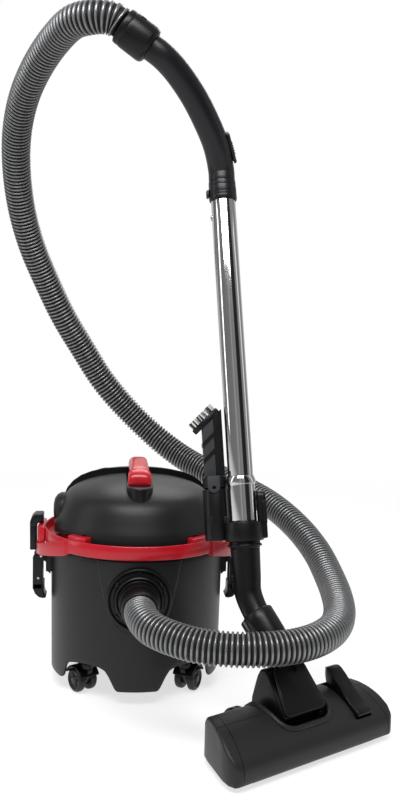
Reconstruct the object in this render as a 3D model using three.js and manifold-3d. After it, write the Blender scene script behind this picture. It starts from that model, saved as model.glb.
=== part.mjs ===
// Compact drum vacuum cleaner with its hose, wand, floor head and accessory tool.
// Millimetres, +Z up. The drum's axis is the design origin, the front faces -Y.

import * as THREE from 'three';
import { mergeVertices } from 'three/addons/utils/BufferGeometryUtils.js';
import Module from 'manifold-3d';

const wasm = await Module();
wasm.setup();
const { Manifold, Mesh: SolidMesh } = wasm;

// ---------- driving dimensions ----------

const GAP = 0.3; // clearance between touching pieces
const FACETS = { large: 36, medium: 20, small: 12, tiny: 6 };

const DRUM = { radius: 131.5, footRadius: 129, wall: 3, rim: 214, floor: 58, skirt: 21 };
const ARCH = { angle: 41, halfWidth: 50, topHalfWidth: 37, top: 55 };
const BAND = { outer: 142.4, inner: 139.4, bottom: 217.6, top: 238.5, web: 221, webInner: 104 };
const COLLAR = { outer: 117, inner: 114, top: 243 };
const LID_SPLIT = 42; // Y of the seam between the lid and the rear cover
const LID_CHIN = { halfAngle: 33, low: 231, high: 246 };
const WELL = { halfWidth: 36, front: -44, back: 40, floor: 287 };

const INLET = { height: 160, hole: 31, flange: 46, face: -139, cuffEnd: -186, cuffRadius: 26.5 };
const SCREW = { circle: 38.5, radius: 3.2 };

const LATCH = { pivotX: 146, pivotZ: 192, hookX: 150, hookZ: 158, halfWidth: 16.5, prong: 5.5 };

const CASTER = { spread: 73, wheel: 18, wheelWidth: 12, halfGap: 4.5, trail: 12, stem: 5 };
const CASTER_YAW = { front_left: 35, front_right: -30, rear_left: 150, rear_right: 205 };

const WAND = { foot: [140, -184, 272], top: [110, -80, 728], radius: 17.5, wall: 1.2 };
const WAND_JOINT = 68; // height of the wand's joint above its foot
const HANDLE_TUBE = { radius: 18.6, bore: 15.5 };
const CUFF = { start: [-38, -146, 944.8], end: [1.5, -145, 918], radius: 24 };

const NECK = { top: [156, -218, 167], bottom: [188, -257, 117], radius: 22 };

const HEAD = { position: [202, -277, 0], yaw: 32, halfWidth: 140, rearHalfWidth: 115, front: -47, back: 48 };
const PIVOT = { y: 8, z: 38, radius: 15 };
const RECESS = { halfWidth: 46, front: -26, floor: 20 };
const ROLLER = { y: 79, z: 20, radius: 20, inner: 25.5, outer: 43 };
const PEDAL = { x: 88, halfWidth: 13, y: -4, z: 68 };

const HOSE = { radius: 23, sides: 8, steps: 64 };

// ---------- finishes ----------

const finish = (color, roughness, metalness = 0) =>
  new THREE.MeshStandardMaterial({ color, roughness, metalness });

const FINISH = {
  charcoal: finish(0x3c3d40, 0.55),
  black: finish(0x17181a, 0.5),
  red: finish(0xb3121f, 0.35),
  chrome: finish(0xd8dadd, 0.12, 1),
  hoseGrey: finish(0x8b8d90, 0.4),
  steel: finish(0x9a9ca0, 0.35, 1),
  rubber: finish(0x111111, 0.8),
  toolGrey: finish(0x55585c, 0.6),
  bristle: finish(0xe4e2da, 0.8),
  foam: finish(0x202226, 0.95),
  cloth: finish(0xd9d6cc, 0.95),
  copper: finish(0x8a5a34, 0.4, 1),
};

// ---------- solids ----------

/** A closed geometry as a manifold solid, turned outward if its faces point in. */
function solidOf(geometry) {
  const bare = geometry.clone();
  bare.deleteAttribute('normal');
  bare.deleteAttribute('uv');
  const merged = mergeVertices(bare, 1e-3);
  const vertProperties = new Float32Array(merged.attributes.position.array);
  const triVerts = new Uint32Array(merged.index.array);
  const a = new THREE.Vector3();
  const b = new THREE.Vector3();
  const c = new THREE.Vector3();
  let volume = 0;
  for (let i = 0; i < triVerts.length; i += 3) {
    a.fromArray(vertProperties, 3 * triVerts[i]);
    b.fromArray(vertProperties, 3 * triVerts[i + 1]);
    c.fromArray(vertProperties, 3 * triVerts[i + 2]);
    volume += a.dot(b.cross(c));
  }
  if (volume < 0) {
    for (let i = 0; i < triVerts.length; i += 3) {
      [triVerts[i + 1], triVerts[i + 2]] = [triVerts[i + 2], triVerts[i + 1]];
    }
  }
  return new Manifold(new SolidMesh({ numProp: 3, vertProperties, triVerts }));
}

function geometryOf(solid) {
  const mesh = solid.getMesh();
  const geometry = new THREE.BufferGeometry();
  geometry.setAttribute('position', new THREE.BufferAttribute(mesh.vertProperties, 3));
  geometry.setIndex(new THREE.BufferAttribute(mesh.triVerts, 1));
  geometry.computeVertexNormals();
  return geometry;
}

const join = (first, ...rest) => rest.reduce((whole, piece) => whole.add(piece), first);
const cut = (first, ...tools) => tools.reduce((whole, tool) => whole.subtract(tool), first);

function part(parent, name, solid, material) {
  const mesh = new THREE.Mesh(geometryOf(solid), material);
  mesh.name = name;
  parent.add(mesh);
  return mesh;
}

/** A box from its low corner to its high corner. */
function block([x0, y0, z0], [x1, y1, z1]) {
  const geometry = new THREE.BoxGeometry(x1 - x0, y1 - y0, z1 - z0);
  geometry.translate((x0 + x1) / 2, (y0 + y1) / 2, (z0 + z1) / 2);
  return solidOf(geometry);
}

/** A solid of revolution about +Z from (radius, height) points. */
function turned(profile, facets = FACETS.medium) {
  const points = profile.map(([r, z]) => new THREE.Vector2(r, z));
  const geometry = new THREE.LatheGeometry(points, facets);
  geometry.rotateX(Math.PI / 2);
  return solidOf(geometry);
}

/** The same, with the profile closed on itself: a ring or a tube. */
const ring = (profile, facets) => turned([...profile, profile[0]], facets);

const disc = (radius, z0, z1, facets) =>
  turned([[0, z0], [radius, z0], [radius, z1], [0, z1]], facets);

const pipe = (outer, inner, z0, z1, facets) =>
  ring([[inner, z0], [outer, z0], [outer, z1], [inner, z1]], facets);

/** An outline in the XY plane, extruded along +Z. */
function slab(outline, z0, z1) {
  const shape = new THREE.Shape(outline.map(([x, y]) => new THREE.Vector2(x, y)));
  const geometry = new THREE.ExtrudeGeometry(shape, { depth: z1 - z0, bevelEnabled: false });
  geometry.translate(0, 0, z0);
  return solidOf(geometry);
}

/** An outline of (y, z) points, extruded along X from x0 to x1. */
function sideProfile(outline, x0, x1) {
  return turnedTo(slab(outline, x0, x1), new THREE.Euler(Math.PI / 2, 0, Math.PI / 2, 'ZYX'));
}

/** A copy of a solid under a rotation and a move. */
function turnedTo(solid, euler, move = [0, 0, 0]) {
  const geometry = geometryOf(solid);
  geometry.applyMatrix4(new THREE.Matrix4().makeRotationFromEuler(euler));
  geometry.translate(...move);
  return solidOf(geometry);
}

const moved = (solid, move) => turnedTo(solid, new THREE.Euler(), move);
const mirroredX = (solid) => {
  const geometry = geometryOf(solid);
  geometry.scale(-1, 1, 1);
  return solidOf(geometry);
};
const alongMinusY = (solid, move) => turnedTo(solid, new THREE.Euler(Math.PI / 2, 0, 0), move);
const alongY = (solid, move) => turnedTo(solid, new THREE.Euler(-Math.PI / 2, 0, 0), move);
const alongX = (solid, move) => turnedTo(solid, new THREE.Euler(0, Math.PI / 2, 0), move);
const yawed = (solid, degrees, move) =>
  turnedTo(solid, new THREE.Euler(0, 0, THREE.MathUtils.degToRad(degrees)), move);

/** A round bar or pipe swept along a smooth curve through points. */
function swept(points, radius, { bore = 0, sides = 12, steps = 12 } = {}) {
  const path = new THREE.CatmullRomCurve3(points.map((p) => new THREE.Vector3(...p)));
  const circle = (r) =>
    Array.from({ length: sides }, (_, i) => {
      const angle = (2 * Math.PI * i) / sides;
      return new THREE.Vector2(r * Math.cos(angle), r * Math.sin(angle));
    });
  const shape = new THREE.Shape(circle(radius));
  if (bore > 0) shape.holes.push(new THREE.Path(circle(bore)));
  return solidOf(new THREE.ExtrudeGeometry(shape, { extrudePath: path, steps, bevelEnabled: false }));
}

/** A group at one point with +Z to another and +X turned toward a direction. */
function axisGroup(parent, from, to, toward = [1, 0, 0]) {
  const group = new THREE.Group();
  const start = new THREE.Vector3(...from);
  const z = new THREE.Vector3(...to).sub(start).normalize();
  const y = z.clone().cross(new THREE.Vector3(...toward)).normalize();
  const x = y.clone().cross(z);
  group.position.copy(start);
  group.quaternion.setFromRotationMatrix(new THREE.Matrix4().makeBasis(x, y, z));
  parent.add(group);
  return group;
}

// ---------- drum ----------

function drumShell() {
  const { radius, footRadius, wall, rim, floor, skirt } = DRUM;
  const shell = turned(
    [
      [0, floor], [footRadius - wall, floor], [footRadius - wall, skirt], [footRadius, skirt],
      [radius, rim], [radius - wall, rim], [footRadius - wall, floor + wall], [0, floor + wall],
    ],
    FACETS.large,
  );
  const outline = [
    [-ARCH.halfWidth, -5], [ARCH.halfWidth, -5], [ARCH.halfWidth, skirt],
    [ARCH.topHalfWidth + 4, ARCH.top - 10], [ARCH.topHalfWidth - 6, ARCH.top],
    [-ARCH.topHalfWidth + 6, ARCH.top], [-ARCH.topHalfWidth - 4, ARCH.top - 10], [-ARCH.halfWidth, skirt],
  ];
  const arch = turnedTo(slab(outline, 90, 140), new THREE.Euler(Math.PI / 2, 0, 0));
  const arches = [ARCH.angle, 180 - ARCH.angle, 180 + ARCH.angle, -ARCH.angle].map((a) => yawed(arch, a));
  const inlet = alongMinusY(disc(INLET.hole, 100, 140), [0, 0, INLET.height]);
  return cut(shell, ...arches, inlet);
}

function latchBracket() {
  // Pad on the drum wall with a lug for the latch pin.
  const pad = block([-140, -10.5, 166], [-127, 10.5, 202]);
  const lug = join(
    block([-LATCH.pivotX, -9.5, 180], [-138, 9.5, 200]),
    alongY(disc(4.2, -9.5, 9.5, FACETS.small), [-LATCH.pivotX, 0, LATCH.pivotZ]),
  );
  const wall = disc(DRUM.radius + GAP, 100, 230, FACETS.large);
  const pinHole = alongY(disc(2.3, -20, 20, FACETS.tiny), [-LATCH.pivotX, 0, LATCH.pivotZ]);
  return cut(join(pad, lug), wall, pinHole);
}

function addDrum(parent) {
  part(parent, 'drum', drumShell(), FINISH.charcoal);
  part(parent, 'rim_gasket', pipe(DRUM.radius - 0.4, DRUM.radius - DRUM.wall + 0.2, 214.3, 217.3, FACETS.large), FINISH.rubber);
  const bag = turned([[0, 62], [70, 63], [98, 72], [104, 86], [98, 100], [70, 110], [0, 113]]);
  part(parent, 'dust_bag', bag, FINISH.cloth);
  const collar = pipe(42, 31, 0, 3);
  part(parent, 'bag_collar', alongMinusY(collar, [0, -104, INLET.height]), FINISH.toolGrey);
}

// ---------- inlet ----------

function addInlet(parent) {
  const at = [0, 0, INLET.height];
  const face = -INLET.face;
  const body = ring([
    [27.5, 100], [30.5, 100], [30.5, 116], [INLET.flange, 116], [INLET.flange, face],
    [INLET.flange - 4, face], [INLET.flange - 4.8, face - 2.5], [34, face - 2.5],
    [33, face + 7], [27.5, face + 7],
  ]);
  const drumWall = cut(
    disc(DRUM.radius + 0.5, 60, 230, FACETS.large),
    alongMinusY(disc(30.6, 90, 150), at),
  );
  const key = block([-3, -face - 2, INLET.height + 35], [3, -face + 4, INLET.height + 43]);
  const screwAngles = [35, 145];
  const screwAt = (degrees) => {
    const angle = THREE.MathUtils.degToRad(degrees);
    return [SCREW.circle * Math.cos(angle), -(face - 2.5), INLET.height + SCREW.circle * Math.sin(angle)];
  };
  const holes = screwAngles.map((a) => {
    const [x, , z] = screwAt(a);
    return alongMinusY(disc(SCREW.radius + GAP, 129, 150, FACETS.tiny), [x, 0, z]);
  });
  const flange = cut(join(cut(alongMinusY(body, at), drumWall), key), ...holes);
  part(parent, 'inlet_flange', flange, FINISH.black);
  screwAngles.forEach((a, i) => {
    const [x, , z] = screwAt(a);
    const screw = alongMinusY(disc(SCREW.radius, 129.5, face - 1.3, FACETS.tiny), [x, 0, z]);
    part(parent, `flange_screw_${i + 1}`, screw, FINISH.steel);
  });
  const end = -INLET.cuffEnd;
  const cuff = ring([
    [21, 112], [26.7, 112], [26.7, face + 8], [28.5, face + 10], [28.5, face + 15],
    [INLET.cuffRadius, face + 18], [INLET.cuffRadius - 1, end - 4], [INLET.cuffRadius - 2.5, end], [21, end],
  ]);
  part(parent, 'inlet_cuff', alongMinusY(cuff, at), FINISH.black);
}

// ---------- motor head ----------

const LID_PROFILE = [
  [126.3, 231], [126.8, 246], [124.5, 253], [118.8, 268], [114.5, 278], [109.5, 287], [103, 294], [90, 301], [70, 307],
  [40, 311.5], [0, 313],
];
const REAR_PROFILE = [[125, 246], [125.5, 262], [120, 284], [104, 304], [79, 316.5], [50, 320], [0, 321]];

/** A dome, grown by an offset, that is closed at its base. */
function dome(profile, offset, facets = FACETS.large) {
  const base = profile[0][1];
  const grown = profile.map(([r, z]) => [r === 0 ? 0 : r + offset, z + (z === base ? 0 : offset)]);
  return turned([[0, base], ...grown], facets);
}

/** A wedge of the lid's skirt outside the front chin, below the raised edge. */
function skirtGap() {
  const half = THREE.MathUtils.degToRad(LID_CHIN.halfAngle);
  const far = 150;
  const outline = [
    [0, 0], [far * Math.sin(half), -far * Math.cos(half)], [2 * far, -far], [2 * far, 2 * far],
    [-2 * far, 2 * far], [-2 * far, -far], [-far * Math.sin(half), -far * Math.cos(half)],
  ];
  return slab(outline, LID_CHIN.low - 2, LID_CHIN.high);
}

function lidShell() {
  const inner = moved(dome(LID_PROFILE, -2.6), [0, 0, -0.5]);
  const behind = block([-200, LID_SPLIT - GAP, 200], [200, 200, 400]);
  const { halfWidth, front, back } = WELL;
  const well = block([-halfWidth, front, 280], [halfWidth, back + 20, 330]);
  const shell = cut(dome(LID_PROFILE, 0), inner, behind, well, skirtGap());
  return join(shell, lidLug(), mirroredX(lidLug()));
}

function rearCover() {
  const inner = cut(moved(dome(REAR_PROFILE, -2.6), [0, 0, -0.5]), block([-200, -200, 200], [200, LID_SPLIT + 2.6, 400]));
  const ahead = block([-200, -200, 200], [200, LID_SPLIT, 400]);
  const window = block([-42, 100, 254], [42, 140, 280]);
  const button = disc(13.6, 280, 330).translate([-58, 78, 0]);
  const gland = glandAxis(disc(9.4, 90, 140, FACETS.small));
  return cut(dome(REAR_PROFILE, 0), inner, ahead, window, button, gland);
}

const GLAND = { angle: 42, z: 262 };
const glandAxis = (solid) =>
  yawed(alongY(solid), -GLAND.angle, [0, 0, GLAND.z]);

function handleWell() {
  const { halfWidth, front, back, floor } = WELL;
  const pan = block([-halfWidth + GAP, front + GAP, floor], [halfWidth - GAP, back, 320]);
  const hollow = block([-halfWidth + 2.6, front + 2.6, floor + 2.2], [halfWidth - 2.6, back - 2.3, 330]);
  const roof = dome(LID_PROFILE, 0);
  return cut(pan.intersect(roof), hollow);
}

function handleBase() {
  const outline = [
    [-103, 285], [-101, 296], [-94, 304.5], [-84, 310], [-72, 313.3], [-57, 313.3], [-57, 321.3],
    [LID_SPLIT + 14, 321.3], [LID_SPLIT + 14, 310], [LID_SPLIT - 8, 310], [LID_SPLIT - 12, 315.5],
    [-46, 315.5], [-50, 285],
  ];
  const bar = sideProfile(outline, -13, 13);
  const plan = slab([[-13, 70], [-13, -84], [-10, -95], [-4, -102], [4, -102], [10, -95], [13, -84], [13, 70]], 280, 330);
  const lid = join(
    cut(dome(LID_PROFILE, GAP), block([-40, WELL.front, 250], [40, 37, 330])),
    cut(dome(REAR_PROFILE, GAP), block([-200, -200, 200], [200, LID_SPLIT - GAP, 400])),
    block([-40, WELL.front - 1, 270], [40, WELL.front + 3, 312]),
  );
  return cut(bar.intersect(plan), lid);
}

function handleGrip() {
  const outline = [
    [-59, 313.6], [-70, 313.6], [-73, 320], [-71, 329], [-63, 335], [-40, 340], [-10, 341.5],
    [20, 340], [40, 335], [52, 328], [LID_SPLIT + 14, 321.6], [-57.3, 321.6], [-57.3, 313.6],
  ];
  return sideProfile(outline, -14.5, 14.5);
}

/** The red base ring of the motor head, with an ear on each side. */
function headRing() {
  const band = ring(
    [
      [BAND.webInner, BAND.bottom], [BAND.outer, BAND.bottom], [BAND.outer, BAND.top],
      [BAND.inner, BAND.top], [BAND.inner, BAND.web], [COLLAR.outer, BAND.web],
      [COLLAR.outer, COLLAR.top], [COLLAR.inner, COLLAR.top], [COLLAR.inner, BAND.web], [BAND.webInner, BAND.web],
    ],
    FACETS.large,
  );
  const ear = cut(
    slab([[-138, -24], [-145, -20], [-152, -17], [-152, 17], [-145, 20], [-138, 24]], 206, 233),
    block([-160, -9.5, 200], [-142.7, 9.5, 240]),
    block([-141.5, -30, 200], [-130, 30, BAND.bottom]),
  );
  return join(band, ear, mirroredX(ear));
}

/** A rounded catch on the flank of the lid, above the ear. */
function lidLug() {
  const boss = turned([[0, -128.5], [12, -128.5], [20, -125.5], [26, -119], [26, -104], [0, -104]], FACETS.medium);
  const inner = moved(dome(LID_PROFILE, -2.6), [0, 0, -0.5]);
  return cut(alongX(boss, [0, 0, 262]), inner, block([-140, -40, 200], [-90, 40, LID_CHIN.high]));
}

function addMotorHead(parent) {
  part(parent, 'head_ring', headRing(), FINISH.red);
  part(parent, 'lid', lidShell(), FINISH.charcoal);
  part(parent, 'rear_cover', rearCover(), FINISH.black);
  part(parent, 'handle_well', handleWell(), FINISH.black);
  part(parent, 'handle_base', handleBase(), FINISH.black);
  part(parent, 'handle_grip', handleGrip(), FINISH.red);

  const slots = [-30, -18, -6, 6, 18, 30].map((x) => block([x - 3.5, 100, 258], [x + 3.5, 130, 276]));
  part(parent, 'exhaust_grille', cut(block([-41.6, 109, 254.4], [41.6, 112, 279.6]), ...slots), FINISH.black);
  part(parent, 'power_button', turned([[0, 288], [13, 288], [13, 306.5], [11, 309], [0, 310]]).translate([-58, 78, 0]), FINISH.red);
  const gland = ring([[4, 112], [9, 112], [9, 129], [6.5, 138], [4, 138]], FACETS.small);
  part(parent, 'cord_gland', glandAxis(gland), FINISH.black);

  part(parent, 'motor_deck', pipe(COLLAR.inner - GAP, 22, BAND.web + GAP, BAND.web + 3, FACETS.large), FINISH.black);
  const fanHousing = ring([
    [24, 224.6], [64, 224.6], [64, 241], [9, 241], [9, 238.6], [61.6, 238.6], [61.6, 227], [24, 227],
  ]);
  part(parent, 'fan_housing', fanHousing, FINISH.steel);
  const motor = ring([[3.4, 241.3], [40, 241.3], [40, 262], [34, 266], [34, 280], [12, 284], [3.4, 284]]);
  part(parent, 'motor', motor, FINISH.copper);
  const fan = turned([[0, 229], [56, 232.5], [56, 235.5], [10, 236.5], [3, 236.8], [3, 282], [0, 282]]);
  part(parent, 'fan', fan, FINISH.steel);
  const basket = turned([
    [0, 122], [82, 122], [86, 212.8], [111, 212.8], [111, 217.3], [83, 217.3], [79.5, 125], [0, 125],
  ]);
  part(parent, 'filter_basket', basket, FINISH.cloth);
  part(parent, 'motor_filter', disc(74, 198, 214), FINISH.foam);
}

// ---------- latches ----------

function latchLever() {
  const { pivotX, pivotZ, hookX, hookZ, halfWidth, prong } = LATCH;
  const outline = [
    [-158, 150], [-158, 140], [-153, 131], [-145, 126.5], [-137, 126.5], [-138.5, 130],
    [-142, 134], [-143.5, 150],
  ];
  const web = turnedTo(slab(outline, -halfWidth, halfWidth), new THREE.Euler(Math.PI / 2, 0, 0));
  const side = [
    [-158, 150], [-158, 192], [-152, 199], [-146, 199], [-140, 194], [-140, 188], [-143.5, 182], [-143.5, 150],
  ];
  const flank = turnedTo(slab(side, -halfWidth, -halfWidth + prong), new THREE.Euler(Math.PI / 2, 0, 0));
  const otherFlank = turnedTo(slab(side, halfWidth - prong, halfWidth), new THREE.Euler(Math.PI / 2, 0, 0));
  const pin = alongY(disc(2, -halfWidth + 1, halfWidth - 1, FACETS.tiny), [-pivotX, 0, pivotZ]);
  const hole = alongY(disc(2.3, -20, 20, FACETS.tiny), [-hookX, 0, hookZ]);
  return join(cut(join(web, flank, otherFlank), hole), pin);
}

function latchHook() {
  const { hookX, hookZ, halfWidth } = LATCH;
  const tongue = join(
    block([-154.7, -9.8, hookZ], [-150.9, 9.8, 205]),
    alongY(disc(4.4, -9.8, 9.8, FACETS.small), [-hookX, 0, hookZ]),
  );
  const shoulder = block([-163, -15, 201], [-153.5, 15, 240]);
  const top = [[-163, 196], [-163, 247], [-160, 253], [-155, 256], [-143.2, 256], [-143.2, 243], [-152.5, 241], [-152.5, 238], [-158.5, 236], [-158.5, 196]];
  const lip = turnedTo(slab(top, -8.8, 8.8), new THREE.Euler(Math.PI / 2, 0, 0));
  const pin = alongY(disc(2, -halfWidth - 0.6, halfWidth + 0.6, FACETS.tiny), [-hookX, 0, hookZ]);
  return join(tongue, shoulder, lip, pin);
}

function addLatches(parent) {
  const pieces = {
    latch_bracket: [latchBracket(), FINISH.black],
    latch_lever: [latchLever(), FINISH.black],
    latch_hook: [latchHook(), FINISH.black],
  };
  for (const [name, [solid, material]] of Object.entries(pieces)) {
    part(parent, `${name}_left`, solid, material);
    part(parent, `${name}_right`, mirroredX(solid), material);
  }
}

// ---------- casters ----------

function casterFork() {
  const { wheel, halfGap, trail, stem } = CASTER;
  const side = [[-7, 44], [-9, 34], [6, 9], [18, 9], [30, 22], [24, 36], [10, 43], [7, 44]];
  const spine = sideProfile(side, -halfGap + GAP, halfGap - GAP);
  const hoodOuter = alongX(disc(wheel + 5, -17.5, 17.5), [0, trail, wheel]);
  const hoodInner = alongX(disc(wheel + 2, -20, 20), [0, trail, wheel]);
  const hood = cut(hoodOuter, hoodInner, block([-30, -30, -10], [30, 60, wheel + 9]));
  const axleHole = alongX(disc(2.8, -30, 30, FACETS.tiny), [0, trail, wheel]);
  return join(cut(join(spine, hood), axleHole), disc(9, 38, 46, FACETS.small), disc(stem, 40, DRUM.floor - GAP, FACETS.small));
}

function casterWheels() {
  const { wheel, wheelWidth, halfGap, trail } = CASTER;
  const tyre = [
    [0, halfGap], [wheel - 1.5, halfGap], [wheel, halfGap + 2], [wheel, halfGap + wheelWidth - 3],
    [wheel - 3, halfGap + wheelWidth], [9, halfGap + wheelWidth], [8, halfGap + wheelWidth - 1.5], [0, halfGap + wheelWidth - 1.5],
  ];
  const right = alongX(turned(tyre), [0, trail, wheel]);
  const axle = alongX(disc(2.4, -halfGap - 1, halfGap + 1, FACETS.tiny), [0, trail, wheel]);
  return join(right, mirroredX(right), axle);
}

function addCasters(parent) {
  const places = { front_left: [-1, -1], front_right: [1, -1], rear_left: [-1, 1], rear_right: [1, 1] };
  for (const [name, [sx, sy]] of Object.entries(places)) {
    const caster = new THREE.Group();
    caster.position.set(sx * CASTER.spread, sy * CASTER.spread, 0);
    caster.rotation.z = THREE.MathUtils.degToRad(CASTER_YAW[name]);
    part(caster, `caster_fork_${name}`, casterFork(), FINISH.black);
    part(caster, `caster_wheels_${name}`, casterWheels(), FINISH.rubber);
    parent.add(caster);
  }
}

// ---------- wand, handle and accessories ----------

const wandLength = new THREE.Vector3(...WAND.foot).distanceTo(new THREE.Vector3(...WAND.top));

function addWand(parent) {
  const { radius, wall } = WAND;
  const wand = axisGroup(parent, WAND.foot, WAND.top);
  const socket = radius + 1.9;
  const upper = pipe(radius, radius - wall, WAND_JOINT - 16, wandLength + 16);
  part(wand, 'wand_upper', upper, FINISH.chrome);
  const lower = ring([
    [radius + GAP, -22], [radius + 1.3, -22], [radius + 1.3, WAND_JOINT - 6], [socket + 0.9, WAND_JOINT - 2],
    [socket + 0.9, WAND_JOINT + 4], [radius + 1, WAND_JOINT + 8], [radius + GAP, WAND_JOINT + 8],
  ]);
  part(wand, 'wand_lower', lower, FINISH.chrome);

  const collar = ring([
    [radius + GAP, wandLength - 2], [radius + 1.6, wandLength - 2], [radius + 2.6, wandLength + 4],
    [radius + 2.6, wandLength + 16.5], [HANDLE_TUBE.radius + 0.8, wandLength + 20],
    [HANDLE_TUBE.radius + 0.6, wandLength + 26], [HANDLE_TUBE.radius - 1.2, wandLength + 26],
    [HANDLE_TUBE.radius - 1.2, wandLength + 17], [radius + GAP, wandLength + 17],
  ]);
  const windowHole = block([-30, -5.3, wandLength + 3], [0, 5.3, wandLength + 14.5]);
  part(wand, 'handle_collar', cut(collar, windowHole), FINISH.black);
  const button = block([-24.2, -5, wandLength + 3.3], [-20.4, 5, wandLength + 14.2]);
  part(wand, 'lock_button', button, FINISH.black);

  addToolHolder(wand);
  return wand;
}

function addToolHolder(wand) {
  const clamp = pipe(26.5, 21.7, -13, 13);
  const leftArm = join(block([-46, 4, -11], [-18, 18, 22]), pipe(17.5, 15, -11, 60).translate([-34, 18, 0]));
  const rightArm = join(block([18, -8, -11], [32, 8, 46]), alongX(disc(8, 18, 32), [0, 0, 46]));
  const clear = [disc(21.7, -20, 70), disc(15, -20, 70).translate([-34, 18, 0])];
  part(wand, 'tool_holder', cut(join(clamp, leftArm, rightArm), ...clear), FINISH.black);

  const spigot = disc(14.4, 8, 64).translate([-34, 18, 0]);
  const neck = block([-46, 9, 62], [-22, 26, 156]);
  const chamfer = turnedTo(block([-40, -20, -20], [10, 20, 20]), new THREE.Euler(0, THREE.MathUtils.degToRad(-42), 0), [-50, 18, 169]);
  const tool = cut(join(spigot, neck), chamfer);
  part(wand, 'combi_tool', tool, FINISH.toolGrey);
  const brush = turnedTo(
    slab(ovalOutline(23, 11), 0, 17),
    new THREE.Euler(0, THREE.MathUtils.degToRad(-42), 0),
    [-40, 18, 157],
  );
  part(wand, 'combi_brush', brush, FINISH.bristle);
}

function ovalOutline(halfLength, halfWidth, count = 16) {
  return Array.from({ length: count }, (_, i) => {
    const angle = (2 * Math.PI * i) / count;
    return [halfLength * Math.cos(angle), halfWidth * Math.sin(angle)];
  });
}

function addHandle(parent, wand) {
  wand.updateMatrixWorld(true);
  const alongWand = (height) => new THREE.Vector3(0, 0, height).applyMatrix4(wand.matrix).toArray();
  const route = [
    [3, -145, 917], [14.6, -144.4, 909.2], [33, -137, 894], [59, -124, 864], [81, -107, 831], [97, -89, 802],
    alongWand(wandLength + 44), alongWand(wandLength + 26.6),
  ];
  const tube = swept(route, HANDLE_TUBE.radius, { bore: HANDLE_TUBE.bore });
  part(parent, 'handle_tube', tube, FINISH.black);

  const cuff = axisGroup(parent, CUFF.start, CUFF.end);
  const length = new THREE.Vector3(...CUFF.start).distanceTo(new THREE.Vector3(...CUFF.end));
  const sleeve = ring([
    [19, 0], [CUFF.radius - 1.5, 0], [CUFF.radius, 4], [CUFF.radius, length - 10], [CUFF.radius - 2, length - 6],
    [CUFF.radius - 2, length], [19, length],
  ]);
  part(cuff, 'handle_cuff', sleeve, FINISH.black);

  const slide = axisGroup(parent, ...SLIDE);
  const shoe = cut(
    slab([[18, -8], [21.5, -8], [23, -5], [23, 5], [21.5, 8], [18, 8]], 2, 42),
    disc(19.9, 0, 50),
    block([22, -12, 14], [30, 12, 18]),
    block([22, -12, 22], [30, 12, 26]),
  );
  part(slide, 'suction_slide', shoe, FINISH.black);
}

const SLIDE = [[93.2, -95, 812], [106.2, -76, 780], [1, 0, 0.4]];

// ---------- elbow and neck ----------

function addElbow(parent, wand) {
  wand.updateMatrixWorld(true);
  const alongWand = (height) => new THREE.Vector3(0, 0, height).applyMatrix4(wand.matrix).toArray();
  const neckStart = new THREE.Vector3(...NECK.top);
  const neckDirection = new THREE.Vector3(...NECK.bottom).sub(neckStart).normalize();
  const alongNeck = (distance) => neckStart.clone().addScaledVector(neckDirection, distance).toArray();
  const route = [alongWand(-24), alongWand(-60), alongWand(-82), alongNeck(-6), alongNeck(14)];
  part(parent, 'elbow', swept(route, 18, { bore: 15, steps: 10 }), FINISH.black);
  const sleeve = ring([
    [WAND.radius + 1.6, -23], [21, -23], [21.4, -18], [21.4, 9], [20.4, 12], [WAND.radius + 1.6, 12],
  ]);
  part(wand, 'elbow_sleeve', sleeve, FINISH.black);
  const neck = axisGroup(parent, NECK.top, NECK.bottom);
  const socket = ring([
    [18.6, 0], [NECK.radius, 0], [NECK.radius, 46], [17, 46], [17, 20], [18.6, 20],
  ]);
  part(neck, 'neck_socket', join(socket, block([-26, -5, 2], [-20, 5, 26])), FINISH.black);
}

// ---------- floor head ----------

const HOOD_SECTION = [
  [-47, 6], [-49, 25], [-45, 34], [-37, 42], [-26, 50.5], [-14, 58], [3, 64.5], [21, 66], [38, 62.5], [47, 52], [48, 12], [44, 6],
];

function hoodShell() {
  const { halfWidth, rearHalfWidth, front, back } = HEAD;
  const plan = [
    [-halfWidth + 6, front - 3], [halfWidth - 6, front - 3], [halfWidth, front + 4], [halfWidth - 2, front + 14],
    [rearHalfWidth, back - 8], [rearHalfWidth - 8, back + 1], [-rearHalfWidth + 8, back + 1], [-rearHalfWidth, back - 8],
    [-halfWidth + 2, front + 14], [-halfWidth, front + 4],
  ];
  const body = sideProfile(HOOD_SECTION, -halfWidth, halfWidth).intersect(slab(plan, 0, 80));
  const recess = block([-RECESS.halfWidth, RECESS.front, RECESS.floor], [RECESS.halfWidth, 80, 90]);
  const pocket = block([-108, -44, 0], [108, 40, 15]);
  const duct = block([-28, -20, 10], [28, 4, 30]);
  const pedalSlot = block([PEDAL.x - PEDAL.halfWidth - 1.5, -40, 30], [PEDAL.x + PEDAL.halfWidth + 1.5, 34, 90]);
  const pin = alongX(disc(4.3, PEDAL.x - 22, PEDAL.x + 22, FACETS.small), [0, PEDAL.y, 50]);
  const axle = alongX(disc(4.4, -56, 56, FACETS.small), [0, PIVOT.y, PIVOT.z]);
  return cut(body, recess, pocket, duct, pedalSlot, pin, axle);
}

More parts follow.
